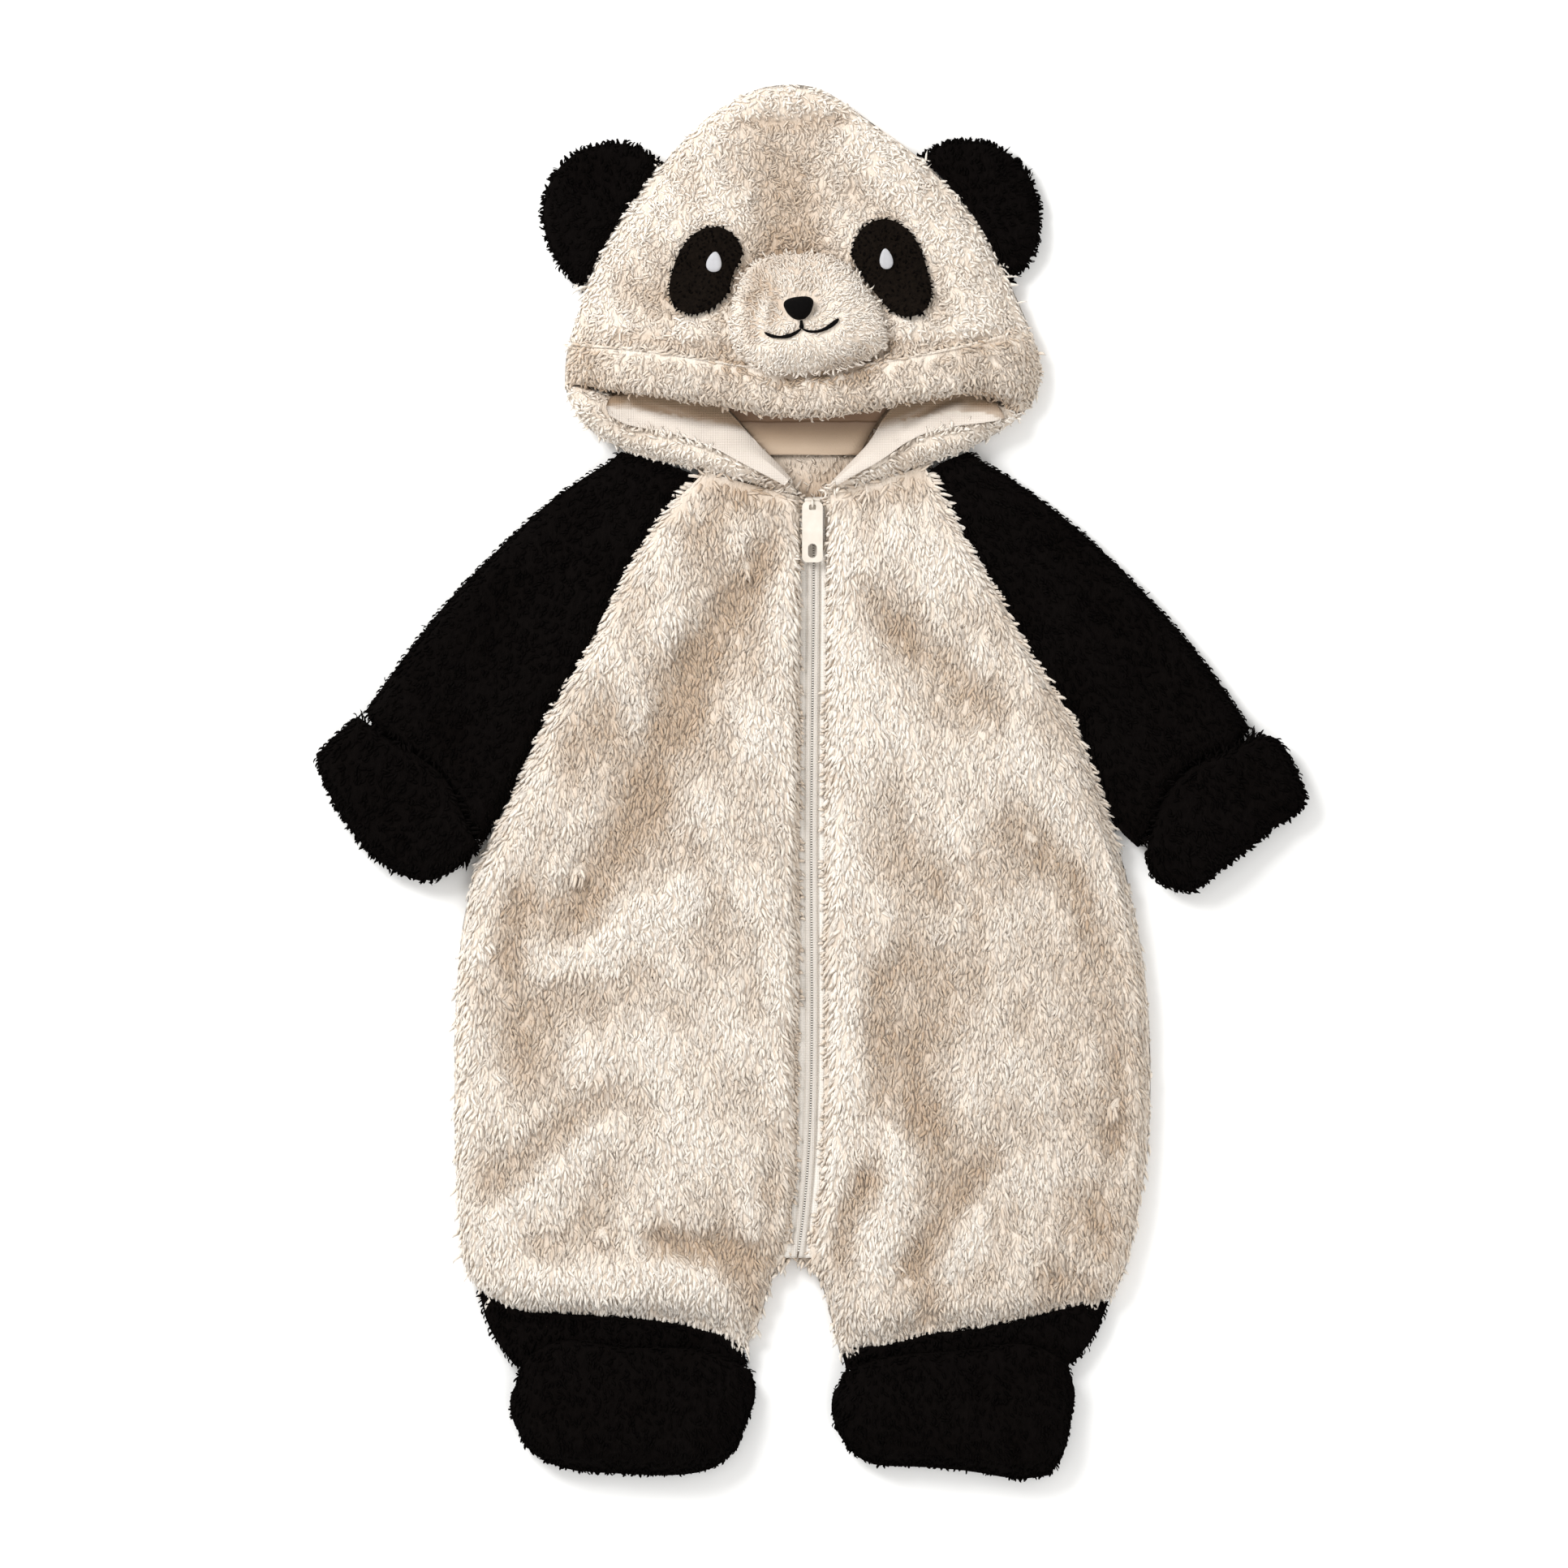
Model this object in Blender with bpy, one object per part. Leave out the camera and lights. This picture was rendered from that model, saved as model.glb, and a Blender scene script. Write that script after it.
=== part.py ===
"""Baby's panda onesie in long-pile fleece, laid flat on its back on a surface.

Plan: +X to the right and +Y towards the hood as seen from above, +Z up, the surface at z = 0.
"left" and "right" in the names are the sides seen from above. Tables and sizes are in millimetres.

Every cloth piece is a wall between an outer and an inner grid of points. The plan of a grid is a
Coons patch between four edge curves, and its heights come from how far a point lies from the edges
where the cloth rolls over, plus the folds. Back pieces fill the lower layer and front pieces the
upper one, so the panels lie on each other. Fleece walls are as thick as their pile reaches.
"""

import math

import bmesh
import bpy
import numpy as np
from mathutils import Matrix, Vector
from mathutils.bvhtree import BVHTree

MM = 0.001
SEAM = 0.3  # gap between two pieces

# Layers of the garment as it lies
BACK_WALL = 8.0  # lower layer: fleece with its pile pressed down
FRONT_WALL = 9.4  # upper layer: fleece with its pile standing
BASE = BACK_WALL + 0.4  # where the upper layer starts
RIM = 1.2  # height of the plain edge where a rolled side meets its seam
PUFF = 1.5  # air under the middle of a front panel
SIDE_ROLL = 15.0  # how far in from the outline the top is rounded
UNDER_ROLL = 8.0  # the same on the underside, which is pressed flat

# Zip: the middle line down the front, from the neck to the crotch
ZIP_LINE = (  # x, y
    (0.4, 147.6), (0.8, 110.0), (0.2, -15.0), (-0.6, -150.0), (-2.6, -215.0), (-7.4, -244.0),
)
ZIP_GROOVE = 6.3  # from the middle of the zip to the fleece on each side
TAPE_REACH = 15.0  # from the middle of the zip to the hidden edge of its tape
TAPE_THICK = 1.0
COIL_WIDTH, COIL_THICK = 5.0, 1.8

# Outline of the fronts and the back, from the neck down
RAGLAN = {
    "left": (  # x, y
        (-55.0, 160.6), (-68.5, 148.0), (-88.0, 123.0), (-101.0, 98.0), (-113.0, 73.0),
        (-128.0, 48.0), (-136.0, 35.0),
    ),
    "right": (
        (58.0, 163.8), (67.0, 148.0), (81.0, 123.0), (96.5, 98.0), (109.5, 73.0),
        (125.0, 48.0), (134.0, 35.0),
    ),
}
FLANK = {
    "left": (
        (-136.0, 35.0), (-146.5, 10.0), (-158.6, -15.0), (-172.6, -40.0), (-179.4, -66.0),
        (-183.8, -104.0), (-184.8, -150.0), (-183.5, -217.0), (-181.5, -243.0),
    ),
    "right": (
        (134.0, 35.0), (144.5, 10.0), (152.0, -15.0), (161.0, -40.0), (167.0, -66.0),
        (173.4, -104.0), (175.4, -150.0), (173.2, -200.0), (165.0, -243.0),
    ),
}
LEG_OUTSIDE = {
    "left": ((-181.5, -243.0), (-178.0, -254.0), (-173.5, -260.2)),
    "right": ((165.0, -243.0), (160.6, -256.0), (155.2, -267.0)),
}
LEG_INSIDE = {
    "left": ((-13.7, -244.0), (-19.6, -252.0), (-24.6, -271.0), (-27.6, -283.0), (-33.6, -292.5)),
    "right": ((-1.1, -244.0), (2.6, -252.0), (8.4, -270.0), (11.0, -283.0), (14.3, -295.5)),
}
HEM = {  # cream over black, from the outside of the leg to the inside
    "left": (
        (-173.5, -260.2), (-158.0, -270.5), (-128.0, -274.0), (-105.0, -274.6),
        (-72.0, -278.0), (-45.0, -285.0), (-33.6, -292.5),
    ),
    "right": (
        (155.2, -267.0), (139.0, -268.6), (123.0, -272.5), (97.0, -279.6), (77.0, -282.0),
        (56.0, -284.6), (43.0, -289.0), (25.0, -291.0), (14.3, -295.5),
    ),
}
NECKLINE = {  # from the raglan seam to the zip
    "left": ((-55.0, 160.6), (-35.0, 154.8), (-5.9, 147.6)),
    "right": ((58.0, 163.8), (47.5, 159.8), (22.0, 153.0), (6.7, 147.6)),
}
NECK_LEVEL = 171.2  # seam between the back and the back of the hood
BACK_NECK = {"left": -50.0, "right": 54.0}
NECK_FLATTENED = 0.55  # how far the fronts and sleeves are pressed down under the hood

# Folds of the two fronts: from one end to the other, how wide, and how high (a trough is below 0)
FRONT_FOLDS = (  # x, y, to x, to y, width, height
    (-27, 104, -66, 45, 13, -4.6),
    (-62, 112, -92, 62, 12, 2.4),
    (-71, 34, -100, -42, 15, -2.6),
    (-126, 4, -112, -6, 9, -2.4),
    (-45, 18, -52, -62, 18, 1.8),
    (-166, -72, -132, -112, 12, -3.4),
    (-150, -128, -140, -150, 13, -2.4),
    (-102, -92, -118, -160, 20, 1.8),
    (-164, -240, -114, -212, 11, -2.2),
    (-96, -184, -62, -160, 15, 1.6),
    (-18, -180, -19, -222, 6, -2.0),
    (-78, -232, -47, -243, 6, -5.2),
    (-47, -243, -28, -247, 5, -4.6),
    (-88, -256, -50, -264, 13, 2.6),
    (-150, -258, -120, -262, 10, 1.4),
    (46, 80, 80, 43, 13, -3.2),
    (30, 108, 52, 96, 10, 1.6),
    (92, 34, 118, -12, 17, 2.2),
    (33, -28, 44, -50, 13, -2.4),
    (46, -76, 82, -112, 13, -2.8),
    (128, -30, 138, -46, 12, -2.0),
    (96, -118, 104, -186, 20, 2.0),
    (156, -138, 150, -152, 9, -1.6),
    (37, -140, 36, -160, 10, -2.0),
    (150, -200, 140, -216, 8, -2.6),
    (27, -206, 19, -244, 6, -4.0),
    (60, -226, 50, -254, 8, -4.2),
    (84, -246, 96, -262, 14, 2.2),
    (138, -252, 130, -262, 9, -2.2),
    (41, -214, 38, -236, 8, 1.8),
)

# Sleeves, from the neck to the cuff; each is one piece folded over at its outer edge
SLEEVE_TOP = {"left": (-98.0, 171.6), "right": (80.0, 171.2)}
SLEEVE_OUTSIDE = {
    "left": (
        (-98.6, 172.1), (-114.6, 161.3), (-133.3, 149.0), (-147.6, 136.5), (-161.0, 123.8),
        (-173.4, 111.2), (-185.8, 98.6), (-196.6, 86.0), (-206.0, 73.4), (-215.6, 60.8),
        (-224.6, 48.2), (-233.2, 35.9),
    ),
    "right": (
        (80.8, 171.9), (99.1, 161.8), (116.7, 149.2), (133.4, 136.6), (147.8, 124.0),
        (161.0, 111.4), (173.2, 98.8), (185.0, 86.2), (196.0, 73.6), (205.8, 61.0),
        (215.2, 48.4), (229.4, 26.3),
    ),
}
SLEEVE_SHOULDER = {  # the top end in front, under the edge of the hood
    "left": ((-59.2, 158.6), (-74.0, 164.0), (-98.6, 171.0)),
    "right": ((61.4, 161.6), (68.0, 165.4), (80.8, 170.8)),
}
SLEEVE_END = {  # where the cuff starts, from the body side to the outer edge
    "left": (
        (-170.8, -33.0), (-179.6, -15.6), (-185.0, -1.0), (-191.6, 7.6), (-209.0, 18.0),
        (-226.0, 28.8), (-233.2, 35.9),
    ),
    "right": (
        (171.0, -34.4), (175.4, -22.0), (180.2, -7.6), (191.0, 6.4),
        (211.6, 16.4), (229.4, 26.3),
    ),
}
SLEEVE_UNDERSIDE = {"left": (), "right": ((159.6, -31.2),)}  # free edge below the armhole
SLEEVE_HEIGHT, SLEEVE_MIDDLE = 17.0, 7.8
SLEEVE_WALL = 6.5
SLEEVE_FOLDS = (  # x, y, to x, to y, width, height
    (-168, 116, -210, 38, 11, 3.0),
    (-140, 100, -178, 30, 11, -2.6),
    (-112, 142, -128, 108, 12, -1.8),
    (-176, -2, -192, 14, 10, 1.8),
    (150, 86, 186, 34, 12, -2.6),
    (168, 92, 206, 46, 10, 2.2),
    (100, 132, 126, 96, 12, -2.0),
    (162, 2, 178, 8, 8, -2.0),
)

# Turned-up cuffs: a second layer round the end of the sleeve
CUFF_TOP = {
    "left": (
        (-171.4, -34.6), (-180.2, -16.6), (-185.8, -2.0), (-192.2, 6.6), (-209.4, 16.9),
        (-226.6, 27.6), (-235.0, 34.8),
    ),
    "right": (
        (172.2, -36.2), (176.6, -22.8), (181.0, -8.6), (191.6, 5.4), (212.0, 15.2), (231.0, 25.0),
    ),
}
CUFF_END = {
    "left": (
        (-196.6, -52.2), (-211.0, -48.6), (-225.0, -40.6), (-236.0, -27.8), (-244.6, -15.0),
        (-251.6, -2.4), (-257.0, 14.0),
    ),
    "right": (
        (196.6, -57.8), (206.0, -50.0), (214.5, -42.0), (227.0, -34.4), (239.0, -21.6),
        (249.2, -18.4), (257.0, -7.2),
    ),
}
CUFF_BODY_SIDE = {
    "left": ((-171.4, -34.6), (-183.0, -45.2), (-196.6, -52.2)),
    "right": ((172.2, -36.2), (173.4, -47.6), (179.6, -53.4), (196.6, -57.8)),
}
CUFF_OUTSIDE = {
    "left": ((-235.0, 34.8), (-246.8, 24.6), (-257.0, 14.0)),
    "right": ((231.0, 25.0), (241.0, 24.8), (249.6, 9.5), (257.0, -7.2)),
}
CUFF_HEIGHT, CUFF_MIDDLE = 23.0, 10.6
CUFF_WALL = 5.2
SLEEVE_IN_CUFF = (6.2, 15.0)  # lowest and highest point of the sleeve inside its cuff
CUFF_FOLDS = (
    (-214, -2, -206, -28, 10, 2.2),
    (-236, 10, -226, -10, 8, -2.0),
    (-194, -18, -190, -36, 9, -1.8),
    (212, -6, 204, -30, 9, 2.0),
    (236, 6, 232, -10, 8, -2.4),
    (190, -16, 186, -40, 8, -1.8),
)

# Booties: an ankle band, and a foot of an upper and a sole round its end
ANKLE_OUTSIDE = {
    "left": ((-173.4, -261.2), (-170.4, -280.0), (-163.2, -292.5), (-154.4, -303.2)),
    "right": ((154.6, -268.0), (151.0, -281.0), (145.0, -292.0), (136.4, -301.6)),
}
ANKLE_INSIDE = {
    "left": ((-34.0, -293.4), (-32.4, -298.0), (-32.0, -302.4)),
    "right": ((14.8, -296.4), (15.2, -300.0), (16.4, -304.2)),
}
ANKLE_END_DEPTH = 12.0  # how far the ankle band runs on inside the foot
ANKLE_HEIGHT, ANKLE_MIDDLE = 15.5, 7.6
ANKLE_WALL = 5.6
ANKLE_IN_FOOT = (6.8, 15.2)
FOOT_EDGE = {  # mouth of the foot's upper, from the outside to the inside
    "left": (
        (-152.4, -304.6), (-146.0, -294.6), (-130.0, -286.0), (-110.0, -290.4), (-80.0, -291.6),
        (-52.0, -292.6), (-30.4, -303.4),
    ),
    "right": (
        (134.4, -302.6), (126.0, -294.0), (110.0, -288.0), (86.0, -292.4), (56.0, -294.0),
        (32.0, -297.4), (15.2, -305.0),
    ),
}
FOOT_OUTSIDE = {
    "left": ((-152.4, -304.6), (-154.8, -314.0), (-156.4, -325.0), (-149.6, -342.0)),
    "right": ((134.4, -302.6), (136.0, -317.0), (134.4, -330.0), (132.4, -343.0)),
}
FOOT_INSIDE = {
    "left": ((-30.4, -303.4), (-29.6, -316.0), (-32.4, -330.0), (-37.6, -344.0)),
    "right": ((15.2, -305.0), (11.6, -317.0), (9.8, -330.0), (17.4, -343.0)),
}
TOE = {
    "left": (
        (-149.6, -342.0), (-142.0, -350.6), (-130.0, -355.5), (-100.0, -357.6), (-66.0, -358.9),
        (-49.6, -355.4), (-37.6, -344.0),
    ),
    "right": (
        (132.4, -343.0), (127.4, -355.8), (116.5, -361.4), (84.0, -356.4), (52.0, -354.0),
        (25.4, -352.0), (17.4, -343.0),
    ),
}
FOOT_HEIGHT = 25.0
FOOT_FOLDS = (
    (-136, -306, -120, -298, 8, -2.6),
    (-60, -320, -50, -344, 10, 2.0),
    (-118, -330, -96, -340, 13, 1.6),
    (118, -308, 104, -300, 8, -2.6),
    (40, -318, 34, -338, 10, 2.0),
    (96, -332, 76, -342, 12, 1.6),
)

# Hood, from its crown down; the mouth is the gap between its band and its two flaps
CROWN = ((-46.0, 350.0), (-29.0, 358.4), (-10.0, 361.0), (5.0, 358.4), (18.6, 350.0))
HOOD_SIDE = {
    "left": (
        (-46.0, 350.0), (-60.6, 338.0), (-72.6, 325.0), (-83.6, 312.0), (-93.0, 299.7),
        (-101.4, 287.0), (-108.6, 274.5), (-114.4, 262.0), (-119.0, 249.0), (-122.8, 237.0),
        (-125.6, 227.4),
    ),
    "right": (
        (18.6, 350.0), (35.2, 338.0), (53.0, 325.4), (67.4, 312.0), (78.4, 299.7), (86.8, 287.0),
        (94.0, 274.5), (100.4, 262.0), (106.6, 249.3), (112.4, 235.4),
    ),
}
BAND_SEAM = (
    (-125.6, 227.4), (-110.5, 226.4), (-72.0, 222.4), (-40.7, 217.0), (0.0, 213.6), (37.8, 218.8),
    (85.3, 228.0), (112.4, 235.4),
)
BAND_ENDS = {
    "left": ((-125.7, 227.0), (-127.4, 217.0), (-127.6, 205.8)),
    "right": ((112.5, 235.0), (117.0, 224.0), (119.6, 211.5), (117.4, 202.0), (109.2, 190.4)),
}
MOUTH_TOP = (
    (-127.6, 205.8), (-116.0, 205.2), (-104.0, 202.0), (-84.4, 200.0), (-64.7, 196.8),
    (-41.6, 193.0), (-18.0, 188.8), (0.0, 187.6), (15.0, 189.0), (38.0, 194.0), (64.7, 198.6),
    (90.0, 200.2), (101.0, 195.4), (109.2, 190.4),
)
HOOD_BACK_SIDE = {
    "left": (
        (-125.6, 227.4), (-127.6, 205.8), (-126.8, 199.6), (-120.6, 187.0), (-110.0, 178.6),
        (-98.0, 171.6),
    ),
    "right": (
        (112.4, 235.4), (119.6, 211.5), (117.4, 202.0), (106.6, 187.4), (93.0, 178.8),
        (80.0, 171.6),
    ),
}
FLAP_EDGE = {  # rolled outer edge, from the corner of the mouth to the zip
    "left": (
        (-127.6, 205.2), (-126.8, 199.6), (-120.6, 187.0), (-109.6, 178.4), (-98.0, 172.0),
        (-55.0, 161.0), (-35.0, 155.2), (-8.0, 148.3),
    ),
    "right": (
        (109.0, 189.8), (106.4, 187.2), (93.0, 178.8), (80.0, 171.7), (61.0, 165.2),
        (47.5, 160.2), (22.0, 153.4), (7.2, 148.4),
    ),
}
FLAP_FOLD = {  # inner edge, along the corner of the mouth, under the band and down the neck
    "left": (
        (-116.2, 204.6), (-104.0, 201.4), (-88.0, 203.6), (-72.0, 206.0), (-56.0, 203.0),
        (-41.6, 190.4), (-26.5, 173.6), (-13.0, 160.4), (-6.2, 150.4),
    ),
    "right": (
        (100.6, 194.6), (92.0, 199.4), (80.0, 203.6), (64.0, 205.6), (50.0, 202.0),
        (38.4, 191.0), (31.0, 177.0), (20.0, 165.6), (6.4, 151.4),
    ),
}
HOOD_WALL = 10.4
HOOD_ROLL = 20.0
MOUTH_RISE = 15.5  # how far the hood stands open at its mouth
MOUTH_START = 268.0  # y where the hood starts to rise towards the mouth
MOUTH_FULL = 222.0
MOUTH_SPREAD = 48.0  # how far in from the side the rise is complete
HOOD_FOLDS = (
    (-38, 338, 20, 343, 6, -2.2),
    (-16, 320, 12, 300, 17, -3.0),
    (-62, 318, -84, 286, 12, -1.6),
    (52, 306, 72, 276, 12, -1.6),
    (-100, 246, -78, 238, 8, -2.2),
    (78, 246, 98, 252, 8, -2.2),
)
BAND_FOLDS = (
    (-108, 214, -92, 210, 7, -1.6),
    (56, 208, 70, 214, 7, -1.4),
)
FLAP_HEIGHT, FLAP_ROLL, FLAP_DIP = 12.6, 9.0, 9.8
LINING_THICK = 1.0
FLAP_ACROSS = (0.0, 0.05, 0.15, 0.30, 0.42, 0.60, 0.80, 1.0)  # shares from rolled edge to fold
LINING_FROM = 4  # the lining starts on this line of FLAP_ACROSS
LINING_CORNER = {"left": 2, "right": 1}  # and on this line along the flap, from the mouth's corner

# Ears: flat stuffed pads sewn to the sides of the hood
EAR_CENTRE = {"left": (-105.0, 294.6), "right": (84.0, 296.7)}
EAR_REACH = {  # angle in degrees, distance of the edge from the centre
    "left": (
        (44, 38.0), (70, 39.6), (90, 38.0), (135, 37.8), (180, 36.6), (215, 37.6), (250, 42.4),
    ),
    "right": (
        (136, 39.0), (112, 39.6), (90, 37.0), (45, 36.0), (0, 35.6), (-30, 39.6), (-48, 42.4),
        (-66, 42.8),
    ),
}
EAR_HEIGHT, EAR_MIDDLE = 15.0, 7.0
EAR_SEAM = {"left": ((-77.2, 321.6), (-118.2, 256.6)), "right": ((56.4, 323.6), (103.4, 258.6))}

# Face: flat patches and a stuffed muzzle on the hood
EYE = {  # points round the edge, cut away on the muzzle's side
    "left": (
        (-48.7, 287.9), (-39.0, 281.8), (-35.4, 272.6), (-40.8, 263.4), (-43.2, 252.4),
        (-52.4, 244.4), (-62.6, 241.3), (-73.0, 248.0), (-72.2, 264.0), (-66.6, 277.2),
        (-59.3, 284.9),
    ),
    "right": (
        (38.1, 291.7), (27.4, 287.9), (21.4, 278.6), (21.4, 269.4), (26.6, 261.4), (34.9, 250.0),
        (43.5, 241.6), (51.0, 239.7), (59.6, 244.0), (62.2, 250.3), (59.8, 264.3), (55.2, 278.3),
        (47.3, 287.9),
    ),
}
EYE_THICK = 2.6
GLINT = {  # points round the edge
    "left": ((-50.6, 274.6), (-46.4, 269.6), (-47.8, 264.8), (-51.4, 263.2), (-54.4, 268.8)),
    "right": ((39.0, 276.4), (35.0, 270.4), (36.2, 265.8), (38.6, 264.8), (42.0, 270.6)),
}
GLINT_THICK = 0.9
MUZZLE = (  # points round the edge
    (-9.0, 273.4), (13.0, 271.2), (27.6, 257.2), (37.6, 240.4), (38.8, 225.6), (23.6, 215.4),
    (-0.4, 210.8), (-24.0, 212.0), (-37.6, 219.4), (-42.2, 235.4), (-39.4, 254.0), (-31.4, 268.4),
)
MUZZLE_RISE = 15.0
NOSE = (  # points round the edge
    (-10.0, 251.0), (-2.0, 251.0), (1.4, 246.4), (-0.4, 241.2), (-5.4, 237.4), (-11.2, 240.4),
    (-14.6, 246.4),
)
NOSE_RISE = 3.4
ON_TOP = 0.6  # gap under a piece that lies on the hood

# Zip slider and its pull tab
SLIDER_Y = (135.4, 146.9)
SLIDER_WIDTH, SLIDER_HEIGHT = 8.4, 3.9
BRIDGE_HALF, BRIDGE_WIRE, BRIDGE_LEG = 1.9, 0.55, 1.4
PULL_AXIS_Y, PULL_AXIS_RISE = 144.2, 1.35
PULL_LENGTH, PULL_WIDTH, PULL_THICK = 30.6, 10.6, 1.6
PULL_BAR = 0.7  # radius of the bar that turns under the slider's bridge
PULL_EYE = (3.6, 3.5)  # width, and distance of its far side from the bar's axis
PULL_SLOT = (4.6, 7.4, 24.6)  # width and length of the hole near the free end, and its centre

CREAM = (0.86, 0.79, 0.68)
LINING = (0.93, 0.88, 0.80)
BLACK = (0.012, 0.010, 0.010)


# Curves and grids -------------------------------------------------------------------------------


def smooth(rows, per_row=8):
    """Dense points on a smooth curve through the rows: a cubic from each row to the next, whose
    slope at a row is that of the parabola through the row and its two neighbours."""
    points = np.array(rows, float)
    at = np.concatenate([[0], np.cumsum(np.linalg.norm(np.diff(points, axis=0), axis=1))])
    slope = np.gradient(points, at, axis=0)
    t = np.linspace(0, at[-1], per_row * (len(points) - 1) + 1)
    i = np.clip(np.searchsorted(at, t, side="right") - 1, 0, len(points) - 2)
    step = (at[i + 1] - at[i])[:, None]
    f = (t - at[i])[:, None] / step
    start = (1 + 2 * f) * (1 - f) ** 2 * points[i] + f * (1 - f) ** 2 * step * slope[i]
    return start + f**2 * (3 - 2 * f) * points[i + 1] - f**2 * (1 - f) * step * slope[i + 1]


def along(rows, shares):
    """Points at the given shares of the length of the smooth curve through the rows."""
    dense = smooth(rows)
    at = np.concatenate([[0], np.cumsum(np.linalg.norm(np.diff(dense, axis=0), axis=1))])
    want = np.asarray(shares, float) * at[-1]
    return np.stack([np.interp(want, at, dense[:, k]) for k in (0, 1)], axis=1)


def joined(*curves):
    """One run of points through curves that share their ends."""
    return np.concatenate([curves[0]] + [curve[1:] for curve in curves[1:]])


def shifted(rows, dx, dy=0.0):
    """The same rows moved in plan."""
    return tuple((x + dx, y + dy) for x, y in rows)


def patch(first, last, start, end, rows, columns):
    """Coons patch between four edges. Row i runs from start[i] to end[i], the first row is first
    and the last row is last: each point is the two blends across, less the blend of the corners.
    rows and columns are the shares of the way at which the edges were sampled."""
    u = np.asarray(columns)[None, :, None]
    v = np.asarray(rows)[:, None, None]
    down = (1 - v) * first[None] + v * last[None]
    across = (1 - u) * start[:, None] + u * end[:, None]
    corners = (1 - v) * ((1 - u) * start[0] + u * end[0]) + v * ((1 - u) * start[-1] + u * end[-1])
    return down + across - corners


def shares(count, crowd=0.0):
    """Shares from 0 to 1 in count steps; crowd from 0 to 1 draws them towards both ends."""
    t = np.linspace(0, 1, count + 1)
    return (1 - crowd) * t + crowd * (0.5 - 0.5 * np.cos(math.pi * t))


def gap_to(plan, curve):
    """Distance in plan from each point to a run of points."""
    a, b = curve[:-1], curve[1:]
    flat = plan.reshape(-1, 1, 2)
    f = np.clip(((flat - a) * (b - a)).sum(-1) / ((b - a) ** 2).sum(-1), 0, 1)
    nearest = a + f[..., None] * (b - a)
    return np.linalg.norm(flat - nearest, axis=-1).min(axis=1).reshape(plan.shape[:-1])


def roll(distance, radius, kept=0.0):
    """Share of the full height near a rolled edge: a quarter ellipse from kept up to 1."""
    inward = np.clip(distance / radius, 0, 1)
    return kept + (1 - kept) * np.sqrt(1 - (1 - inward) ** 2)


def ease(value):
    """0 below 0, 1 above 1, and a smooth step between."""
    t = np.clip(value, 0, 1)
    return t * t * (3 - 2 * t)


def folds(plan, table):
    """Sum of soft ridges and troughs: each falls off as a bell with the distance from its line."""
    total = np.zeros(plan.shape[:-1])
    for x, y, to_x, to_y, width, height in table:
        line = np.array([(x, y), (to_x, to_y)], float)
        total += height * np.exp(-((gap_to(plan, line) / width) ** 2))
    return total


def lifted(plan, height):
    """Plan points with their heights."""
    return np.concatenate([plan, np.broadcast_to(height, plan.shape[:-1])[..., None]], axis=-1)


# Solids -----------------------------------------------------------------------------------------


def material(name, colour, roughness):
    made = bpy.data.materials.new(name)
    made.use_nodes = True
    shader = made.node_tree.nodes["Principled BSDF"]
    shader.inputs["Base Color"].default_value = (*colour, 1)
    shader.inputs["Roughness"].default_value = roughness
    made.diffuse_color = (*colour, 1)
    return made


def collection(name):
    made = bpy.data.collections.new(name)
    bpy.context.scene.collection.children.link(made)
    return made


def quads(index, wrap=False):
    """Quads between the rows and columns of an index grid; wrap joins the last column to the first."""
    columns = np.roll(index, -1, axis=1) if wrap else index[:, 1:]
    here = index if wrap else index[:, :-1]
    corners = (here[:-1], here[1:], columns[1:], columns[:-1])
    return np.stack([corner.ravel() for corner in corners], axis=1)


def cloth(name, outer, inner, faces, finish):
    """Closed wall between two sets of matching points: the faces on the outer points, the same
    faces on the inner ones, and a rim along every edge that only one face uses."""
    count = len(outer)
    edges = np.concatenate([faces[:, [k, (k + 1) % 4]] for k in range(4)])
    known = {tuple(edge) for edge in edges.tolist()}
    rim = [(b, a, a + count, b + count) for a, b in edges.tolist() if (b, a) not in known]
    walls = faces.tolist() + (faces[:, [0, 3, 2, 1]] + count).tolist() + rim
    mesh = bpy.data.meshes.new(name)
    mesh.from_pydata((np.concatenate([outer, inner]) * MM).tolist(), [], walls)
    made = bmesh.new()
    made.from_mesh(mesh)
    if made.calc_volume(signed=True) < 0:
        bmesh.ops.reverse_faces(made, faces=made.faces)
    made.to_mesh(mesh)
    made.free()
    mesh.shade_smooth()
    mesh.set_sharp_from_angle(angle=math.radians(50))
    return put(name, mesh, finish)


def put(name, mesh, finish):
    """Object for a mesh, in the garment's collection, with its own material."""
    made = bpy.data.objects.new(name, mesh)
    mesh.materials.clear()
    mesh.materials.append(material(name + "_finish", *finish))
    GARMENT.objects.link(made)
    return made


def panel(name, plan, top, bottom, finish):
    """Wall over a plan grid between two heights."""
    index = np.arange(plan.shape[0] * plan.shape[1]).reshape(plan.shape[:2])
    upper, lower = lifted(plan, top).reshape(-1, 3), lifted(plan, bottom).reshape(-1, 3)
    return cloth(name, upper, lower, quads(index), finish)


def tube(name, outer_plan, inner_plan, outer, inner, finish, wrap):
    """Flattened tube. outer and inner are (upper, lower) heights over the plans, whose last column
    is the fold; the lower half runs back from it. wrap closes the tube at the first column too."""
    rows, columns = outer_plan.shape[:2]
    back = slice(columns - 2, 0 if wrap else None, -1)

    def ring(plan, heights):
        upper, lower = (lifted(plan, height) for height in heights)
        return np.concatenate([upper, lower[:, back]], axis=1)

    skins = [ring(outer_plan, outer), ring(inner_plan, inner)]
    index = np.arange(skins[0].shape[0] * skins[0].shape[1]).reshape(rows, -1)
    return cloth(name, skins[0].reshape(-1, 3), skins[1].reshape(-1, 3), quads(index, wrap), finish)


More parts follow.
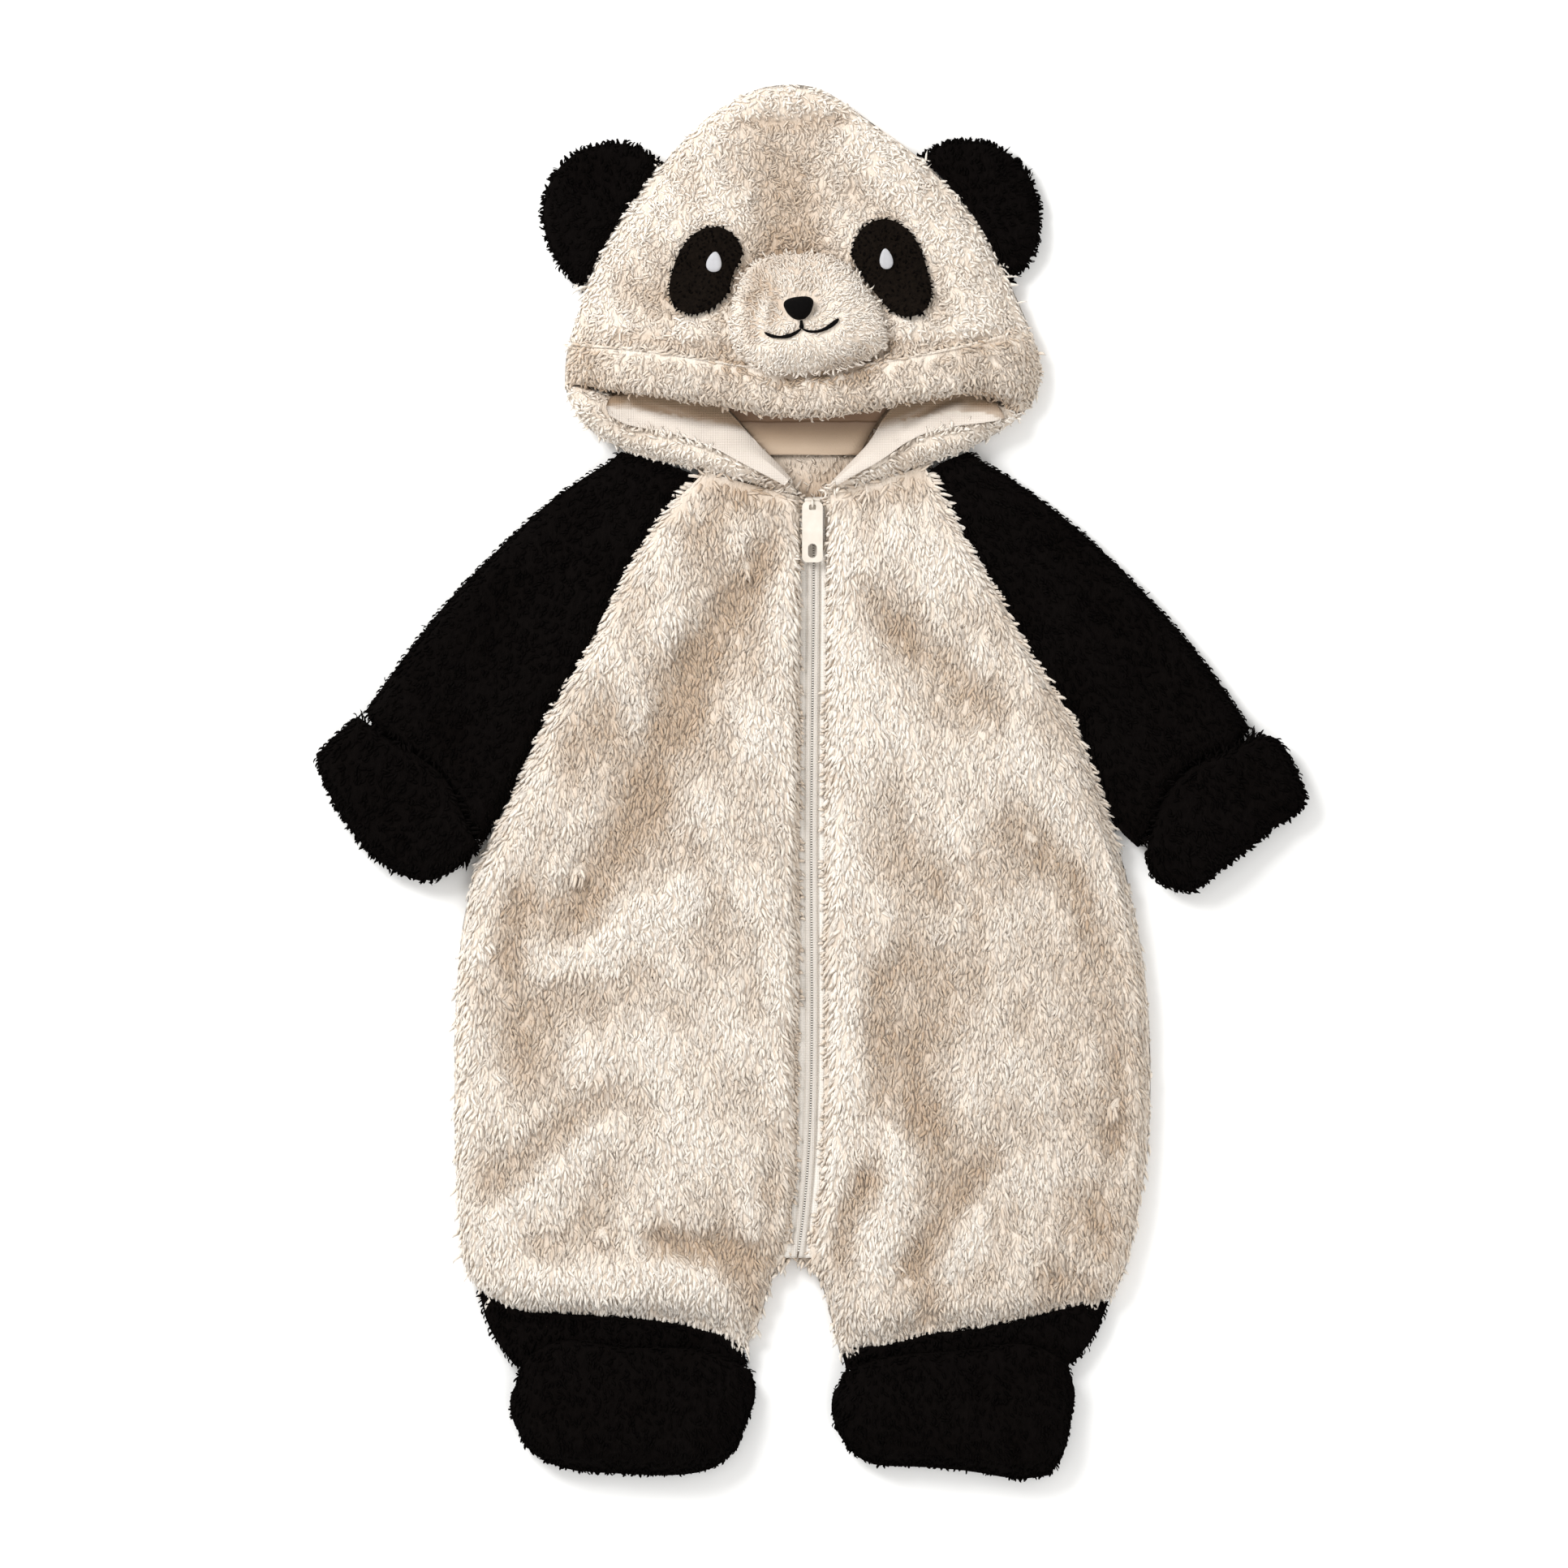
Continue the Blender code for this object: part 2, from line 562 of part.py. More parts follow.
def loop(rows, count):
    """Evenly spaced points round the smooth closed curve through the rows."""
    dense = smooth(rows[-2:] + rows + rows[:3])[16 : -15 - 1]
    at = np.concatenate([[0], np.cumsum(np.linalg.norm(np.diff(dense, axis=0), axis=1))])
    want = np.arange(count) * at[-1] / count
    return np.stack([np.interp(want, at, dense[:, k]) for k in (0, 1)], axis=1)


def pad(name, edge, under, rise, finish, rings=(0.0, 0.45, 0.82, 1.0), spokes=20, rim=0.3):
    """Domed pad on a surface: rings of points in plan inside its edge, their lower side at
    under(plan) and their upper side higher by rise, rounded to the share rim of it at the edge."""
    outline = loop(edge, spokes)
    centre = outline.mean(axis=0)
    circle = outline - centre
    plan = centre + np.concatenate([[(0, 0)]] + [circle * r for r in rings[1:]])
    radius = np.concatenate([[0]] + [np.full(spokes, r) for r in rings[1:]])
    low = under(plan)
    high = low + rise * (rim + (1 - rim) * np.sqrt(np.clip(1 - radius**2, 0, 1)))
    index = 1 + np.arange((len(rings) - 1) * spokes).reshape(-1, spokes)
    around = quads(index, wrap=True)
    hub = np.stack([np.zeros(spokes, int), index[0], np.roll(index[0], -1)], axis=1)
    edge = np.stack([index[-1], np.roll(index[-1], -1)], axis=1)
    return rounded_pad(name, lifted(plan, high), lifted(plan, low), around, hub, edge, finish)


def rounded_pad(name, upper, lower, around, hub, edge, finish):
    """Closed pad from matching upper and lower discs: a fan at the hub, quads round it, and a rim."""
    count = len(upper)
    walls = around.tolist() + hub.tolist()
    walls += [[k + count for k in face[::-1]] for face in walls]
    walls += [(b, a, a + count, b + count) for a, b in edge.tolist()]
    mesh = bpy.data.meshes.new(name)
    mesh.from_pydata((np.concatenate([upper, lower]) * MM).tolist(), [], walls)
    made = bmesh.new()
    made.from_mesh(mesh)
    bmesh.ops.recalc_face_normals(made, faces=made.faces)
    made.to_mesh(mesh)
    made.free()
    mesh.shade_smooth()
    mesh.set_sharp_from_angle(angle=math.radians(50))
    return put(name, mesh, finish)


# Body -------------------------------------------------------------------------------------------

BODY_ROWS, LEG_ROWS = 20, 4
HEM_COLUMNS = shares(11, 0.75)
ZIP_CURVE = smooth(ZIP_LINE)


def body_plan(side, middle_top, middle, side_top, columns, lift=0.0):
    """Plan grid of one side of the body, from its outline to a middle line and down the leg; lift
    draws the hem up."""
    raglan, flank, leg = RAGLAN[side], FLANK[side], LEG_OUTSIDE[side]
    outline = tuple(side_top) + raglan + flank[1:]
    outside = joined(along(outline, shares(BODY_ROWS)), along(leg, shares(LEG_ROWS)))
    inside = joined(along(middle, shares(BODY_ROWS)), along(LEG_INSIDE[side], shares(LEG_ROWS)))
    first, last = along(middle_top, columns), along(HEM[side], columns) + (0, lift)
    outside[-1], inside[-1] = last[0], last[-1]
    down = np.append(shares(BODY_ROWS) * 0.9, 0.9 + 0.1 * shares(LEG_ROWS)[1:])
    return patch(first, last, outside, inside, down, columns)


def front_share(side, plan):
    """Share of the front's height: rolled down at every edge, more at the free side and hem."""
    zip_edge = gap_to(plan, ZIP_CURVE) - ZIP_GROOVE
    share = roll(gap_to(plan, smooth(RAGLAN[side])), 9.0, 0.45)
    share = share * roll(gap_to(plan, smooth(FLANK[side] + LEG_OUTSIDE[side][1:])), SIDE_ROLL)
    share = share * roll(np.maximum(zip_edge, 0), 10.0, 0.16)
    share = share * roll(gap_to(plan, smooth(LEG_INSIDE[side])), 13.0, 0.04)
    share = share * roll(gap_to(plan, smooth(HEM[side])), 11.0, 0.25)
    return share * (1 - NECK_FLATTENED * ease((plan[..., 1] - 112) / 42))


def front(side):
    """Front panel, from the raglan seam and the side to the zip, and down to the hem of the leg."""
    sign = -1 if side == "left" else 1
    middle = shifted(ZIP_LINE, sign * ZIP_GROOVE)
    plan = body_plan(side, NECKLINE[side], middle, (), HEM_COLUMNS)
    share = front_share(side, plan)
    crease = folds(plan, FRONT_FOLDS)
    top = BASE + RIM + (FRONT_WALL + PUFF) * share + crease * share
    air = np.clip(PUFF + 0.5 * crease, 0, 3.2) * ease((share - 0.7) / 0.3)
    over_tape = (BACK_WALL + 2 * SEAM + TAPE_THICK + 0.4 - BASE) * (
        1 - ease((gap_to(plan, ZIP_CURVE) - TAPE_REACH - 2) / 8)
    )
    return panel("front_" + side, plan, top, BASE + np.maximum(air, over_tape), CREAM_FLEECE)


def back():
    """Back panel: both sides meet on the middle line down to the crotch and part into the legs."""
    plans = []
    for side in ("left", "right"):
        middle_top = ((BACK_NECK[side], NECK_LEVEL), (0.4, NECK_LEVEL))
        middle = ((0.4, NECK_LEVEL),) + ZIP_LINE[1:]
        side_top = ((BACK_NECK[side], NECK_LEVEL),)
        plans.append(body_plan(side, middle_top, middle, side_top, shares(6, 0.7), 1.2))
    whole, edges = plans[0].shape, []
    index = np.arange(whole[0] * whole[1]).reshape(whole[:2])
    other = index + index.size
    other[: BODY_ROWS + 1, -1] = index[: BODY_ROWS + 1, -1]
    for side, plan in zip(("left", "right"), plans):
        outline = smooth(((BACK_NECK[side], NECK_LEVEL),) + RAGLAN[side])
        share = roll(gap_to(plan, smooth(FLANK[side] + LEG_OUTSIDE[side][1:])), UNDER_ROLL, 0.1)
        share = share * roll(gap_to(plan, smooth(LEG_INSIDE[side])), UNDER_ROLL, 0.1)
        share = share * roll(gap_to(plan, smooth(HEM[side])), 6.0, 0.5)
        edges.append(share * roll(gap_to(plan, outline), 4.0, 0.85))
    points = np.concatenate([plan.reshape(-1, 2) for plan in plans])
    under = BACK_WALL * (1 - np.concatenate([edge.ravel() for edge in edges]))
    faces = np.concatenate([quads(index), quads(other)[:, ::-1]])
    used, kept = np.unique(faces, return_inverse=True)
    lower, upper = lifted(points, under)[used], lifted(points, BACK_WALL)[used]
    return cloth("back_body", lower, upper, kept.reshape(faces.shape), CREAM_FLEECE)


# Sleeves and cuffs ------------------------------------------------------------------------------

SLEEVE_ROWS, HIDDEN_ROWS = 12, 2
SLEEVE_COLUMNS = shares(7, 0.7)
STEP_AT = 0.99  # share of the sleeve's length where it steps down to go into the cuff


def body_side(side):
    """Inner edge of the sleeve: down the raglan seam and on along the side of the body."""
    sign = -1 if side == "left" else 1
    beside = [row for row in FLANK[side][1:] if row[1] > SLEEVE_END[side][0][1] + 4]
    seam = shifted(RAGLAN[side] + tuple(beside), sign * 3 * SEAM)
    return seam + SLEEVE_UNDERSIDE[side] + (SLEEVE_END[side][0],)


def inset(plan, start, end):
    """Each row pulled in at its start and its end by these distances, its columns spread evenly."""
    length = np.linalg.norm(np.diff(plan, axis=1), axis=2).sum(axis=1)
    at = np.linspace(0, 1, plan.shape[1])
    rows = []
    for row, total in zip(plan, length):
        step = np.linalg.norm(np.diff(row, axis=0), axis=1)
        walked = np.concatenate([[0], np.cumsum(step)]) / total
        want = start / total + walked * (1 - (start + end) / total)
        rows.append([np.interp(want, walked, row[:, k]) for k in (0, 1)])
    return np.array(rows).transpose(0, 2, 1)


def cuff_plan(side, rows, columns):
    """Plan grid of a cuff, from its upper edge to the end of the sleeve."""
    first, last = along(CUFF_TOP[side], columns), along(CUFF_END[side], columns)
    start, end = along(CUFF_BODY_SIDE[side], rows), along(CUFF_OUTSIDE[side], rows)
    return patch(first, last, start, end, rows, columns)


def sleeve(side):
    """Raglan sleeve: one piece from the seam in front, over its outer fold, to the seam behind.
    Its end is pressed thinner inside the turned-up cuff."""
    rows = np.append(shares(SLEEVE_ROWS) * STEP_AT, 1)
    edge, outside = along(body_side(side), rows), along(SLEEVE_OUTSIDE[side], rows)
    shoulder = along(SLEEVE_SHOULDER[side], SLEEVE_COLUMNS)
    end = along(SLEEVE_END[side], SLEEVE_COLUMNS)
    edge[0], outside[0] = shoulder[0], shoulder[-1]
    shown = patch(shoulder, end, edge, outside, rows, SLEEVE_COLUMNS)
    within = cuff_plan(side, np.append(shares(HIDDEN_ROWS)[1:] * 0.7, 1), SLEEVE_COLUMNS)[:-1]
    hidden = inset(np.concatenate([shown[-1:], within]), CUFF_WALL + 3.2, CUFF_WALL + 3.2)
    plan = np.concatenate([shown[:-1], hidden])

    raglan, fold = smooth(RAGLAN[side]), smooth(SLEEVE_OUTSIDE[side])
    beside = smooth(body_side(side)[len(RAGLAN[side]) - 1 :])
    crease = folds(plan, SLEEVE_FOLDS)
    share = roll(gap_to(plan, raglan), 8.0, 0.5) * roll(gap_to(plan, beside), 11.0, 0.08)
    share = share * roll(gap_to(plan, fold), 13.0)
    share = share * roll(gap_to(plan, smooth(SLEEVE_SHOULDER[side])), 10.0, 0.8)
    flat = 1 - 0.42 * ease((plan[..., 1] - 112) / 42)
    top = SLEEVE_MIDDLE + (SLEEVE_HEIGHT - SLEEVE_MIDDLE + crease) * share * flat
    below = roll(gap_to(plan, fold), UNDER_ROLL) * roll(gap_to(plan, raglan), 5.0, 0.8)
    bottom = SLEEVE_MIDDLE * (1 - below * roll(gap_to(plan, beside), UNDER_ROLL, 0.08))
    low, high = SLEEVE_IN_CUFF
    inside = np.arange(len(plan)) > SLEEVE_ROWS
    round_ends = roll(np.minimum(SLEEVE_COLUMNS, 1 - SLEEVE_COLUMNS) * 80, 7.0, 0.1)
    round_ends[-1] = 0
    middle = (low + high) / 2
    slit = np.where(inside, middle, SLEEVE_MIDDLE)[:, None] * np.ones(plan.shape[1])
    top[inside] = middle + (high - middle) * round_ends
    bottom[inside] = middle - (middle - low) * round_ends
    inner_plan = inset(plan, 0.0, SLEEVE_WALL)
    inner_plan[inside] = inset(plan[inside], 0.0, 0.45 * SLEEVE_WALL)
    gap = SEAM * np.ones(plan.shape[1])
    gap[-1] = 0
    return tube(
        "sleeve_" + side, plan, inner_plan, (top, bottom), (slit + gap, slit - gap), BLACK_PLUSH, False
    )


def cuff(side):
    """Turned-up cuff: a ring of plush round the end of the sleeve, rolled over at the opening."""
    rows, columns = shares(5, 0.5), shares(9, 0.8)
    plan = cuff_plan(side, rows, columns)
    crease = folds(plan, CUFF_FOLDS)
    sides = roll(gap_to(plan, smooth(CUFF_BODY_SIDE[side])), 10.0)
    sides = sides * roll(gap_to(plan, smooth(CUFF_OUTSIDE[side])), 10.0)
    ends = roll(gap_to(plan, smooth(CUFF_TOP[side])), 5.0, 0.72)
    ends = ends * roll(gap_to(plan, smooth(CUFF_END[side])), 9.0, 0.25)
    top = CUFF_MIDDLE + (CUFF_HEIGHT - CUFF_MIDDLE + crease) * sides * ends
    bottom = CUFF_MIDDLE * (1 - sides * roll(gap_to(plan, smooth(CUFF_END[side])), 6.0, 0.3))
    inner_plan = inset(plan, CUFF_WALL, CUFF_WALL)
    low, high = SLEEVE_IN_CUFF
    hollow = 1 - 0.82 * ease((np.linspace(0, 1, len(plan)) - 0.78) / 0.22)[:, None]
    bow = np.sqrt(np.clip(1 - np.abs(2 * columns - 1) ** 8, 0, 1))[None, :]
    inner_top = CUFF_MIDDLE + (high + 0.9 - CUFF_MIDDLE) * hollow * bow
    inner_bottom = CUFF_MIDDLE - (CUFF_MIDDLE - low + 0.9) * hollow * bow
    return tube(
        "cuff_" + side, plan, inner_plan, (top, bottom), (inner_top, inner_bottom), BLACK_PLUSH, True
    )


# Booties ----------------------------------------------------------------------------------------


def ankle(side):
    """Ankle band: a flattened tube from the hem of the leg to inside the foot."""
    columns, rows = HEM_COLUMNS, shares(3)
    outside, inside = along(ANKLE_OUTSIDE[side], rows), along(ANKLE_INSIDE[side], rows)
    hem = shifted(HEM[side], 0, -4 * SEAM)
    first = along(hem, columns)
    outside[0], inside[0] = first[0], first[-1]
    level = along((tuple(outside[-1]), tuple(inside[-1])), columns)
    shown = patch(first, level, outside, inside, rows, columns)
    within = inset(shown[-1:], 7.5, 7.5)
    hidden = [within + np.array([0, -dy]) for dy in (2.0, ANKLE_END_DEPTH)]
    plan = np.concatenate([shown] + hidden)
    low, high = ANKLE_IN_FOOT
    bulge = np.sqrt(np.clip(1 - np.abs(2 * columns - 1) ** 5, 0, 1))
    tall = np.array([0.86, 1, 1, 1, 0, 0])[:, None]
    top = ANKLE_MIDDLE + (ANKLE_HEIGHT - ANKLE_MIDDLE) * bulge * tall
    bottom = ANKLE_MIDDLE * (1 - bulge) * np.ones((len(plan), 1))
    middle = (low + high) / 2
    top[-2:] = middle + (high - middle) * bulge
    bottom[-2:] = middle - (middle - low) * bulge
    centre = np.array([ANKLE_MIDDLE] * 4 + [middle] * 2)[:, None] * np.ones(len(columns))
    gap = 2 * SEAM * np.sqrt(np.clip(1 - np.abs(2 * columns - 1) ** 4, 0, 1))
    inner_plan = inset(plan, ANKLE_WALL, ANKLE_WALL)
    inner = (centre + gap, centre - gap)
    return tube("ankle_" + side, plan, inner_plan, (top, bottom), inner, BLACK_PLUSH, True)


def foot_plan(side, mouth, rows, columns):
    """Plan grid of a foot, from its mouth to the toe."""
    first, last = along(mouth, columns), along(TOE[side], columns)
    start, end = along(FOOT_OUTSIDE[side], rows), along(FOOT_INSIDE[side], rows)
    return patch(first, last, start, end, rows, columns)


def room_for_ankle(side, plan):
    """Share from 0 to 1 of the room that the foot leaves for the end of the ankle band."""
    sides = np.minimum(
        gap_to(plan, smooth(FOOT_OUTSIDE[side])), gap_to(plan, smooth(FOOT_INSIDE[side]))
    )
    depth = gap_to(plan, smooth(FOOT_EDGE[side]))
    level = min(FOOT_EDGE[side][0][1], FOOT_EDGE[side][-1][1]) - ANKLE_END_DEPTH - 2
    end = 1 - ease((level - plan[..., 1]) / 7)
    return np.maximum(ease((sides - 0.5) / 6), 1 - ease((depth - 2) / 5)) * end


def foot(side):
    """Foot: an upper over a sole, both rounded at the toe and the sides."""
    columns = shares(9, 0.75)
    upper = foot_plan(side, FOOT_EDGE[side], shares(7, 0.4), columns)
    rim = smooth(FOOT_OUTSIDE[side] + TOE[side][1:] + FOOT_INSIDE[side][-2::-1])
    share = roll(gap_to(upper, rim), 15.0, 0.04)
    mouth = roll(gap_to(upper, smooth(FOOT_EDGE[side])), 9.0, 0.6)
    top = BASE + RIM + (FOOT_HEIGHT - BASE - RIM + folds(upper, FOOT_FOLDS)) * share * mouth
    room = room_for_ankle(side, upper)
    under = BASE + (ANKLE_HEIGHT + 0.5 - BASE) * room
    top = np.maximum(top, under + RIM + 2.6 * room)
    panel("foot_upper_" + side, upper, top, under, BLACK_PLUSH)

    ends = (FOOT_EDGE[side][0], FOOT_EDGE[side][-1])
    level = tuple((x, y - 2.8) for x, y in ends)
    sole = foot_plan(side, level, shares(5, 0.4), columns)
    top = BACK_WALL - (BACK_WALL - ANKLE_IN_FOOT[0] + 0.5) * room_for_ankle(side, sole)
    below = roll(gap_to(sole, rim), UNDER_ROLL, 0.12)
    panel("foot_sole_" + side, sole, top, np.minimum(BACK_WALL * (1 - below), top - RIM), BLACK_PLUSH)


# Hood -------------------------------------------------------------------------------------------

HOOD_OUTLINE = smooth(
    HOOD_SIDE["left"][::-1] + CROWN[1:] + HOOD_SIDE["right"][1:] + BAND_ENDS["right"][1:]
)
HOOD_OUTLINE = np.concatenate([smooth(BAND_ENDS["left"])[::-1], HOOD_OUTLINE])


def mouth_rise(plan):
    """How far the upper side of the hood stands off the lower one, towards its mouth."""
    inward = ease(gap_to(plan, HOOD_OUTLINE) / MOUTH_SPREAD)
    return MOUTH_RISE * inward * ease((MOUTH_START - plan[..., 1]) / (MOUTH_START - MOUTH_FULL))


def hood_inside(plan):
    return BASE + mouth_rise(plan)


def hood_outside(plan):
    side = roll(gap_to(plan, HOOD_OUTLINE), HOOD_ROLL)
    return BASE + RIM + (HOOD_WALL + folds(plan, HOOD_FOLDS)) * side + 0.94 * mouth_rise(plan)


def band_outside(plan):
    """The turned hem along the mouth: a soft roll, a little thicker than the hood."""
    side = roll(gap_to(plan, HOOD_OUTLINE), HOOD_ROLL)
    edges = roll(gap_to(plan, smooth(BAND_SEAM)), 7.0, 0.78)
    edges = edges * roll(gap_to(plan, smooth(MOUTH_TOP)), 9.0, 0.22)
    thick = HOOD_WALL + 1.6 + folds(plan, BAND_FOLDS)
    return BASE + RIM + thick * side * edges + 0.94 * mouth_rise(plan)


def hood():
    """Upper side of the hood, its turned hem along the mouth, and its back on the surface; hands
    back the first two."""
    rows, columns = shares(13, 0.3), shares(14, 0.6)
    first, last = along(CROWN, columns), along(BAND_SEAM, columns)
    left, right = (along(HOOD_SIDE[side], rows) for side in ("left", "right"))
    plan = patch(first, last, left, right, rows, columns)
    seam = roll(gap_to(plan, smooth(BAND_SEAM)), 6.0, 0.86)
    top = hood_inside(plan) + (hood_outside(plan) - hood_inside(plan)) * seam
    tops = [panel("hood_top", plan, top, hood_inside(plan), CREAM_FLEECE)]

    rows, columns = shares(5, 0.4), shares(18, 0.45)
    first = along(shifted(BAND_SEAM, 0, -1.4 * SEAM), columns)
    last = along(MOUTH_TOP, columns)
    left, right = (along(BAND_ENDS[side], rows) for side in ("left", "right"))
    left[0], right[0] = first[0], first[-1]
    plan = patch(first, last, left, right, rows, columns)
    tops.append(panel("hood_band", plan, band_outside(plan), hood_inside(plan), CREAM_FLEECE))

    rows, columns, sides = shares(12), shares(10, 0.6), []
    for side in ("left", "right"):
        whole = HOOD_SIDE[side] + HOOD_BACK_SIDE[side][1:]
        sides.append(along(whole, rows))
    last = along((HOOD_BACK_SIDE["left"][-1], HOOD_BACK_SIDE["right"][-1]), columns)
    plan = patch(along(CROWN, columns), last, *sides, rows, columns)
    outline = smooth(
        HOOD_BACK_SIDE["left"][:0:-1] + HOOD_SIDE["left"][::-1] + CROWN[1:]
        + HOOD_SIDE["right"][1:] + HOOD_BACK_SIDE["right"][1:]
    )
    under = BACK_WALL * (1 - roll(gap_to(plan, outline), UNDER_ROLL, 0.12))
    panel("hood_back", plan, BACK_WALL, under, CREAM_FLEECE)
    return tops


def flap(side):
    """Flap of the hood beside the neck, folded over so that its lining faces up: high along its
    rolled outer edge, and lower towards the mouth. The lining lies on it, made from its points."""
    lengths = shares(13, 0.25)
    outer, inner = along(FLAP_EDGE[side], lengths), along(FLAP_FOLD[side], lengths)
    ends = [np.array([outer[k], inner[k]]) for k in (0, -1)]
    across = np.array(FLAP_ACROSS)[:, None]
    start, end = (pair[0] + across * (pair[1] - pair[0]) for pair in ends)
    v = np.array(FLAP_ACROSS)[:, None, None]
    plan = (1 - v) * outer[None] + v * inner[None]
    plan[:, 0], plan[:, -1] = start, end
    edge = gap_to(plan, smooth(FLAP_EDGE[side]))
    inside = gap_to(plan, smooth(FLAP_FOLD[side]))
    height = FLAP_HEIGHT * roll(edge, FLAP_ROLL, 0.1) - FLAP_DIP * ease((edge - FLAP_ROLL) / 24)
    height = height * (1 - 0.45 * ease((118 - np.abs(plan[..., 0])) / -26))
    height = np.maximum(height * roll(inside, 4.0, 0.62), RIM)
    corner = gap_to(plan, HOOD_OUTLINE)
    room = hood_inside(plan) - BASE - LINING_THICK - 3 * SEAM
    under_band = ease((plan[..., 1] - mouth_level(plan) + 5) / 4)
    height = height + under_band * (np.minimum(height, np.maximum(room, RIM)) - height)
    height = np.where(corner < 12, np.minimum(height, 9.0), height)
    panel("hood_flap_" + side, plan, BASE + height, BASE, CREAM_FLEECE)
    first = LINING_CORNER[side]
    sheet, rise = plan[LINING_FROM:, first:-1], height[LINING_FROM:, first:-1]
    low = BASE + ON_TOP + rise
    panel("flap_lining_" + side, sheet, low + LINING_THICK, low, LINING_CLOTH)


def mouth_level(plan):
    """y of the mouth's upper edge above each point."""
    return np.interp(plan[..., 0], *np.array(MOUTH_TOP).T)


def back_lining():
    """Smooth lining inside the back of the hood, between the two flaps."""
    left = ((-23.4, 171.6), (-39.6, 191.6), (-48.0, 199.8), (-54.0, 204.6))
    right = ((24.6, 171.6), (36.0, 192.0), (44.6, 200.8), (50.0, 204.6))
    rows, columns = shares(4), shares(4)
    near, far = along((left[0], right[0]), columns), along((left[-1], right[-1]), columns)
    plan = patch(near, far, along(left, rows), along(right, rows), rows, columns)
    low = BACK_WALL + SEAM
    return panel("back_lining", plan, low + LINING_THICK, low, LINING_CLOTH)


def ear(side):
    """Stuffed ear: a flat pad between the side of the hood and a round edge."""
    angle, reach = np.array(EAR_REACH[side], float).T
    turn = np.radians(np.linspace(angle[0], angle[-1], 41))
    order = np.argsort(angle)
    far = np.interp(np.degrees(turn), angle[order], reach[order])
    arc = np.array(EAR_CENTRE[side]) + far[:, None] * np.stack([np.cos(turn), np.sin(turn)], axis=1)
    top, tip = EAR_SEAM[side]
    sign = -1 if side == "left" else 1
    middle = [row for row in HOOD_SIDE[side] if tip[1] + 3 < row[1] < top[1] - 3]
    seam = (top,) + shifted(middle, sign * 2 * SEAM) + (tip,)
    rows, columns = shares(10, 0.35), shares(7, 0.6)[None, :, None]
    start, end = along(seam, rows)[:, None], along(arc, rows)[:, None]
    plan = (1 - columns) * start + columns * end
    outer = roll(gap_to(plan, arc), 13.0, 0.1)
    sewn = roll(gap_to(plan, smooth(seam)), 9.0, 0.62)
    thick = EAR_HEIGHT - EAR_MIDDLE
    under = EAR_MIDDLE * (1 - roll(gap_to(plan, arc), UNDER_ROLL, 0.1) * sewn**0.3)
    return panel("ear_" + side, plan, EAR_MIDDLE + thick * outer * sewn, under, BLACK_PLUSH)


def above(pieces, clearance=ON_TOP):
    """Height over a plan point at which a piece lies on these ones, with a small clearance."""
    trees = []
    for piece in pieces:
        mesh = piece.data
        corners = [tuple(vertex.co / MM) for vertex in mesh.vertices]
        trees.append(BVHTree.FromPolygons(corners, [tuple(face.vertices) for face in mesh.polygons]))

    def height(plan):
        found = []
        for x, y in plan.reshape(-1, 2):
            spots = [Vector((x, y + dy, 99)) for dy in (-1, 0, 1)]
            hits = [tree.ray_cast(spot, Vector((0, 0, -1)))[0] for tree in trees for spot in spots]
            found.append(max([hit.z for hit in hits if hit is not None]))
        return np.array(found).reshape(plan.shape[:-1]) + clearance

    return height


def face(hood_pieces):
    """Eye patches with their glints, and the stuffed muzzle with its nose, each lying on the
    points of what is under it."""
    on_hood = above(hood_pieces)
    for side in ("left", "right"):
        black = pad("eye_patch_" + side, EYE[side], on_hood, EYE_THICK, BLACK_PLUSH, rim=0.35)
        on_patch = above([black])
        pad("eye_glint_" + side, GLINT[side], on_patch, GLINT_THICK, GLINT_CLOTH, (0, 1), 12, 1.0)
    fine = (0.0, 0.22, 0.44, 0.66, 0.86, 1.0)
    dome = pad("muzzle", MUZZLE, above(hood_pieces, 2 * ON_TOP), MUZZLE_RISE, CREAM_FLEECE, fine, 24, 0.16)
    pad("nose", NOSE, above([dome]), NOSE_RISE, BLACK_PLUSH, (0, 0.5, 0.85, 1), 14, 0.3)


# Zip --------------------------------------------------------------------------------------------


def zip_strip(name, near, far, low, high, rows, finish, crown=0.0):
    """Strip along the zip between two distances from its middle line; crown rounds its top."""
    centre = along(ZIP_LINE, rows)
    ahead = np.gradient(centre, axis=0)
    across = np.stack([-ahead[:, 1], ahead[:, 0]], axis=1) / np.linalg.norm(ahead, axis=1)[:, None]
    offsets = np.linspace(near, far, 5 if crown else 2)
    plan = centre[:, None] + offsets[None, :, None] * across[:, None]
    arch = 1 - np.linspace(-1, 1, len(offsets)) ** 2
    return panel(name, plan, high - crown + crown * arch[None, :], low, finish)


